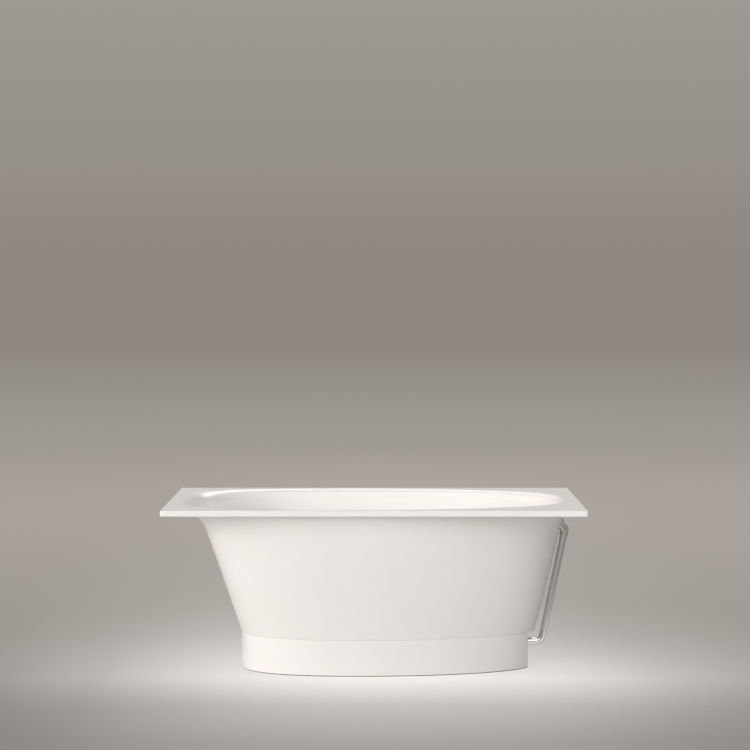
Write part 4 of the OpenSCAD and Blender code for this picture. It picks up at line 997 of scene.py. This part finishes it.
def floor_material():
    """The tone seen is plain_depth(y) + glow_depth(y) * glow_across(x): a plain tone that is
    darkest just in front of the bath and paler towards the back and far out in front, and a glow
    round the bath. Far off the floor takes the backdrop's own colour."""
    material = bpy.data.materials.new("studio_floor")
    material.use_nodes = True
    tree = material.node_tree
    tree.nodes.remove(tree.nodes["Principled BSDF"])
    matt, glow = (tree.nodes.new(kind) for kind in ("ShaderNodeBsdfDiffuse", "ShaderNodeEmission"))
    matt.inputs["Color"].default_value = (*floor_pale, 1)
    where = coordinates(tree, "Object")
    place = parts_of(tree, where)

    def spread(value, reach, stops, tint=(1, 1, 1)):
        low, high = reach
        share = ranged(tree, value, low, high).outputs["Result"]
        return ramp_of(tree, share, [((at - low) / (high - low), tuple(tone * t for t in tint))
                                     for at, tone in stops])

    plain_tone = spread(place["Y"], depth_reach, plain_depth, plain_tint)
    glow_tone = mixed(tree, spread(place["Y"], depth_reach, glow_depth, glow_tint),
                      spread(place["X"], across_reach, glow_across), operation="MULTIPLY")
    tone = mixed(tree, plain_tone, glow_tone, operation="ADD")
    lit_tone = tuple(floor_lit * lit_level * c for c in floor_pale)
    unlit = mixed(tree, tone, lit_tone, operation="SUBTRACT")
    near = mixed(tree, unlit, (1 / (1 - floor_lit),) * 3, operation="MULTIPLY")
    span = tree.nodes.new("ShaderNodeVectorMath")
    span.operation = "LENGTH"
    tree.links.new(where, span.inputs[0])
    far, fade = (ranged(tree, span.outputs["Value"], haze_start, end).outputs["Result"]
                 for end in (haze_end, fade_end))
    tree.links.new(mixed(tree, near, ramp_of(tree, far, haze_tones), fade), glow.inputs["Color"])
    share = worked_out(tree, "MULTIPLY_ADD", fade, floor_lit, 1 - floor_lit)
    share = worked_out(tree, "MULTIPLY", share, background_rays(tree))
    mix_surface(tree, share, matt.outputs["BSDF"], glow.outputs["Emission"], "Material Output")
    return material


floor_mesh.materials.append(floor_material())

lamp_white, lamp_aim, ambient_strength = (1.0, 0.99, 0.978), 0.35, 0.03
world = bpy.data.worlds.new("studio")
bpy.context.scene.world = world
world.use_nodes = True
sky = world.node_tree
even, seen = sky.nodes["Background"], sky.nodes.new("ShaderNodeBackground")
even.inputs["Color"].default_value = (*lamp_white, 1)
even.inputs["Strength"].default_value = ambient_strength
height = parts_of(sky, coordinates(sky, "Generated"))["Z"]
shade = ramp_of(sky, ranged(sky, height, 0, backdrop_rise).outputs["Result"], backdrop_tones)
sky.links.new(shade, seen.inputs["Color"])
mix_surface(sky, background_rays(sky), even.outputs["Background"], seen.outputs["Background"],
            "World Output")


def lamp(name, azimuth, elevation, distance, width, height, power, in_gloss=True):
    """A wide soft lamp that faces the bath's middle from an azimuth, counted from straight in
    front towards the drain end, and an elevation. Low lamps are kept out of the gloss, where
    the level rim, seen from behind, would mirror them as plain white."""
    light = bpy.data.lights.new(name, "AREA")
    light.shape, light.energy, light.color = "RECTANGLE", power, lamp_white
    light.size, light.size_y = width, height
    lit = new_object(name, light)
    az, el = math.radians(azimuth), math.radians(elevation)
    lit.location = (distance * math.cos(el) * math.sin(az),
                    -distance * math.cos(el) * math.cos(az), lamp_aim + distance * math.sin(el))
    lit.rotation_euler = (math.pi / 2 - el, 0, az)
    lit.visible_glossy = in_gloss


lamp("key", -65, 14, 25, 24, 12, 2500, in_gloss=False)
lamp("front", -22, 14, 25, 24, 12, 2880, in_gloss=False)
lamp("high_front", -10, 40, 25, 18, 14, 1850)
lamp("behind", 165, 52, 20, 14, 9, 2700)

camera_data = bpy.data.cameras.new("camera")
camera_data.lens, camera_data.sensor_width = 92.33, 36
camera_data.clip_end = 300
camera = new_object("camera", camera_data)
camera.location = (0.01907, -7.06867, 1.43199)
camera.rotation_euler = (math.radians(90 - 2.909), 0, math.radians(0.134))
bpy.context.scene.camera = camera
bpy.context.scene.view_settings.view_transform = "Standard"
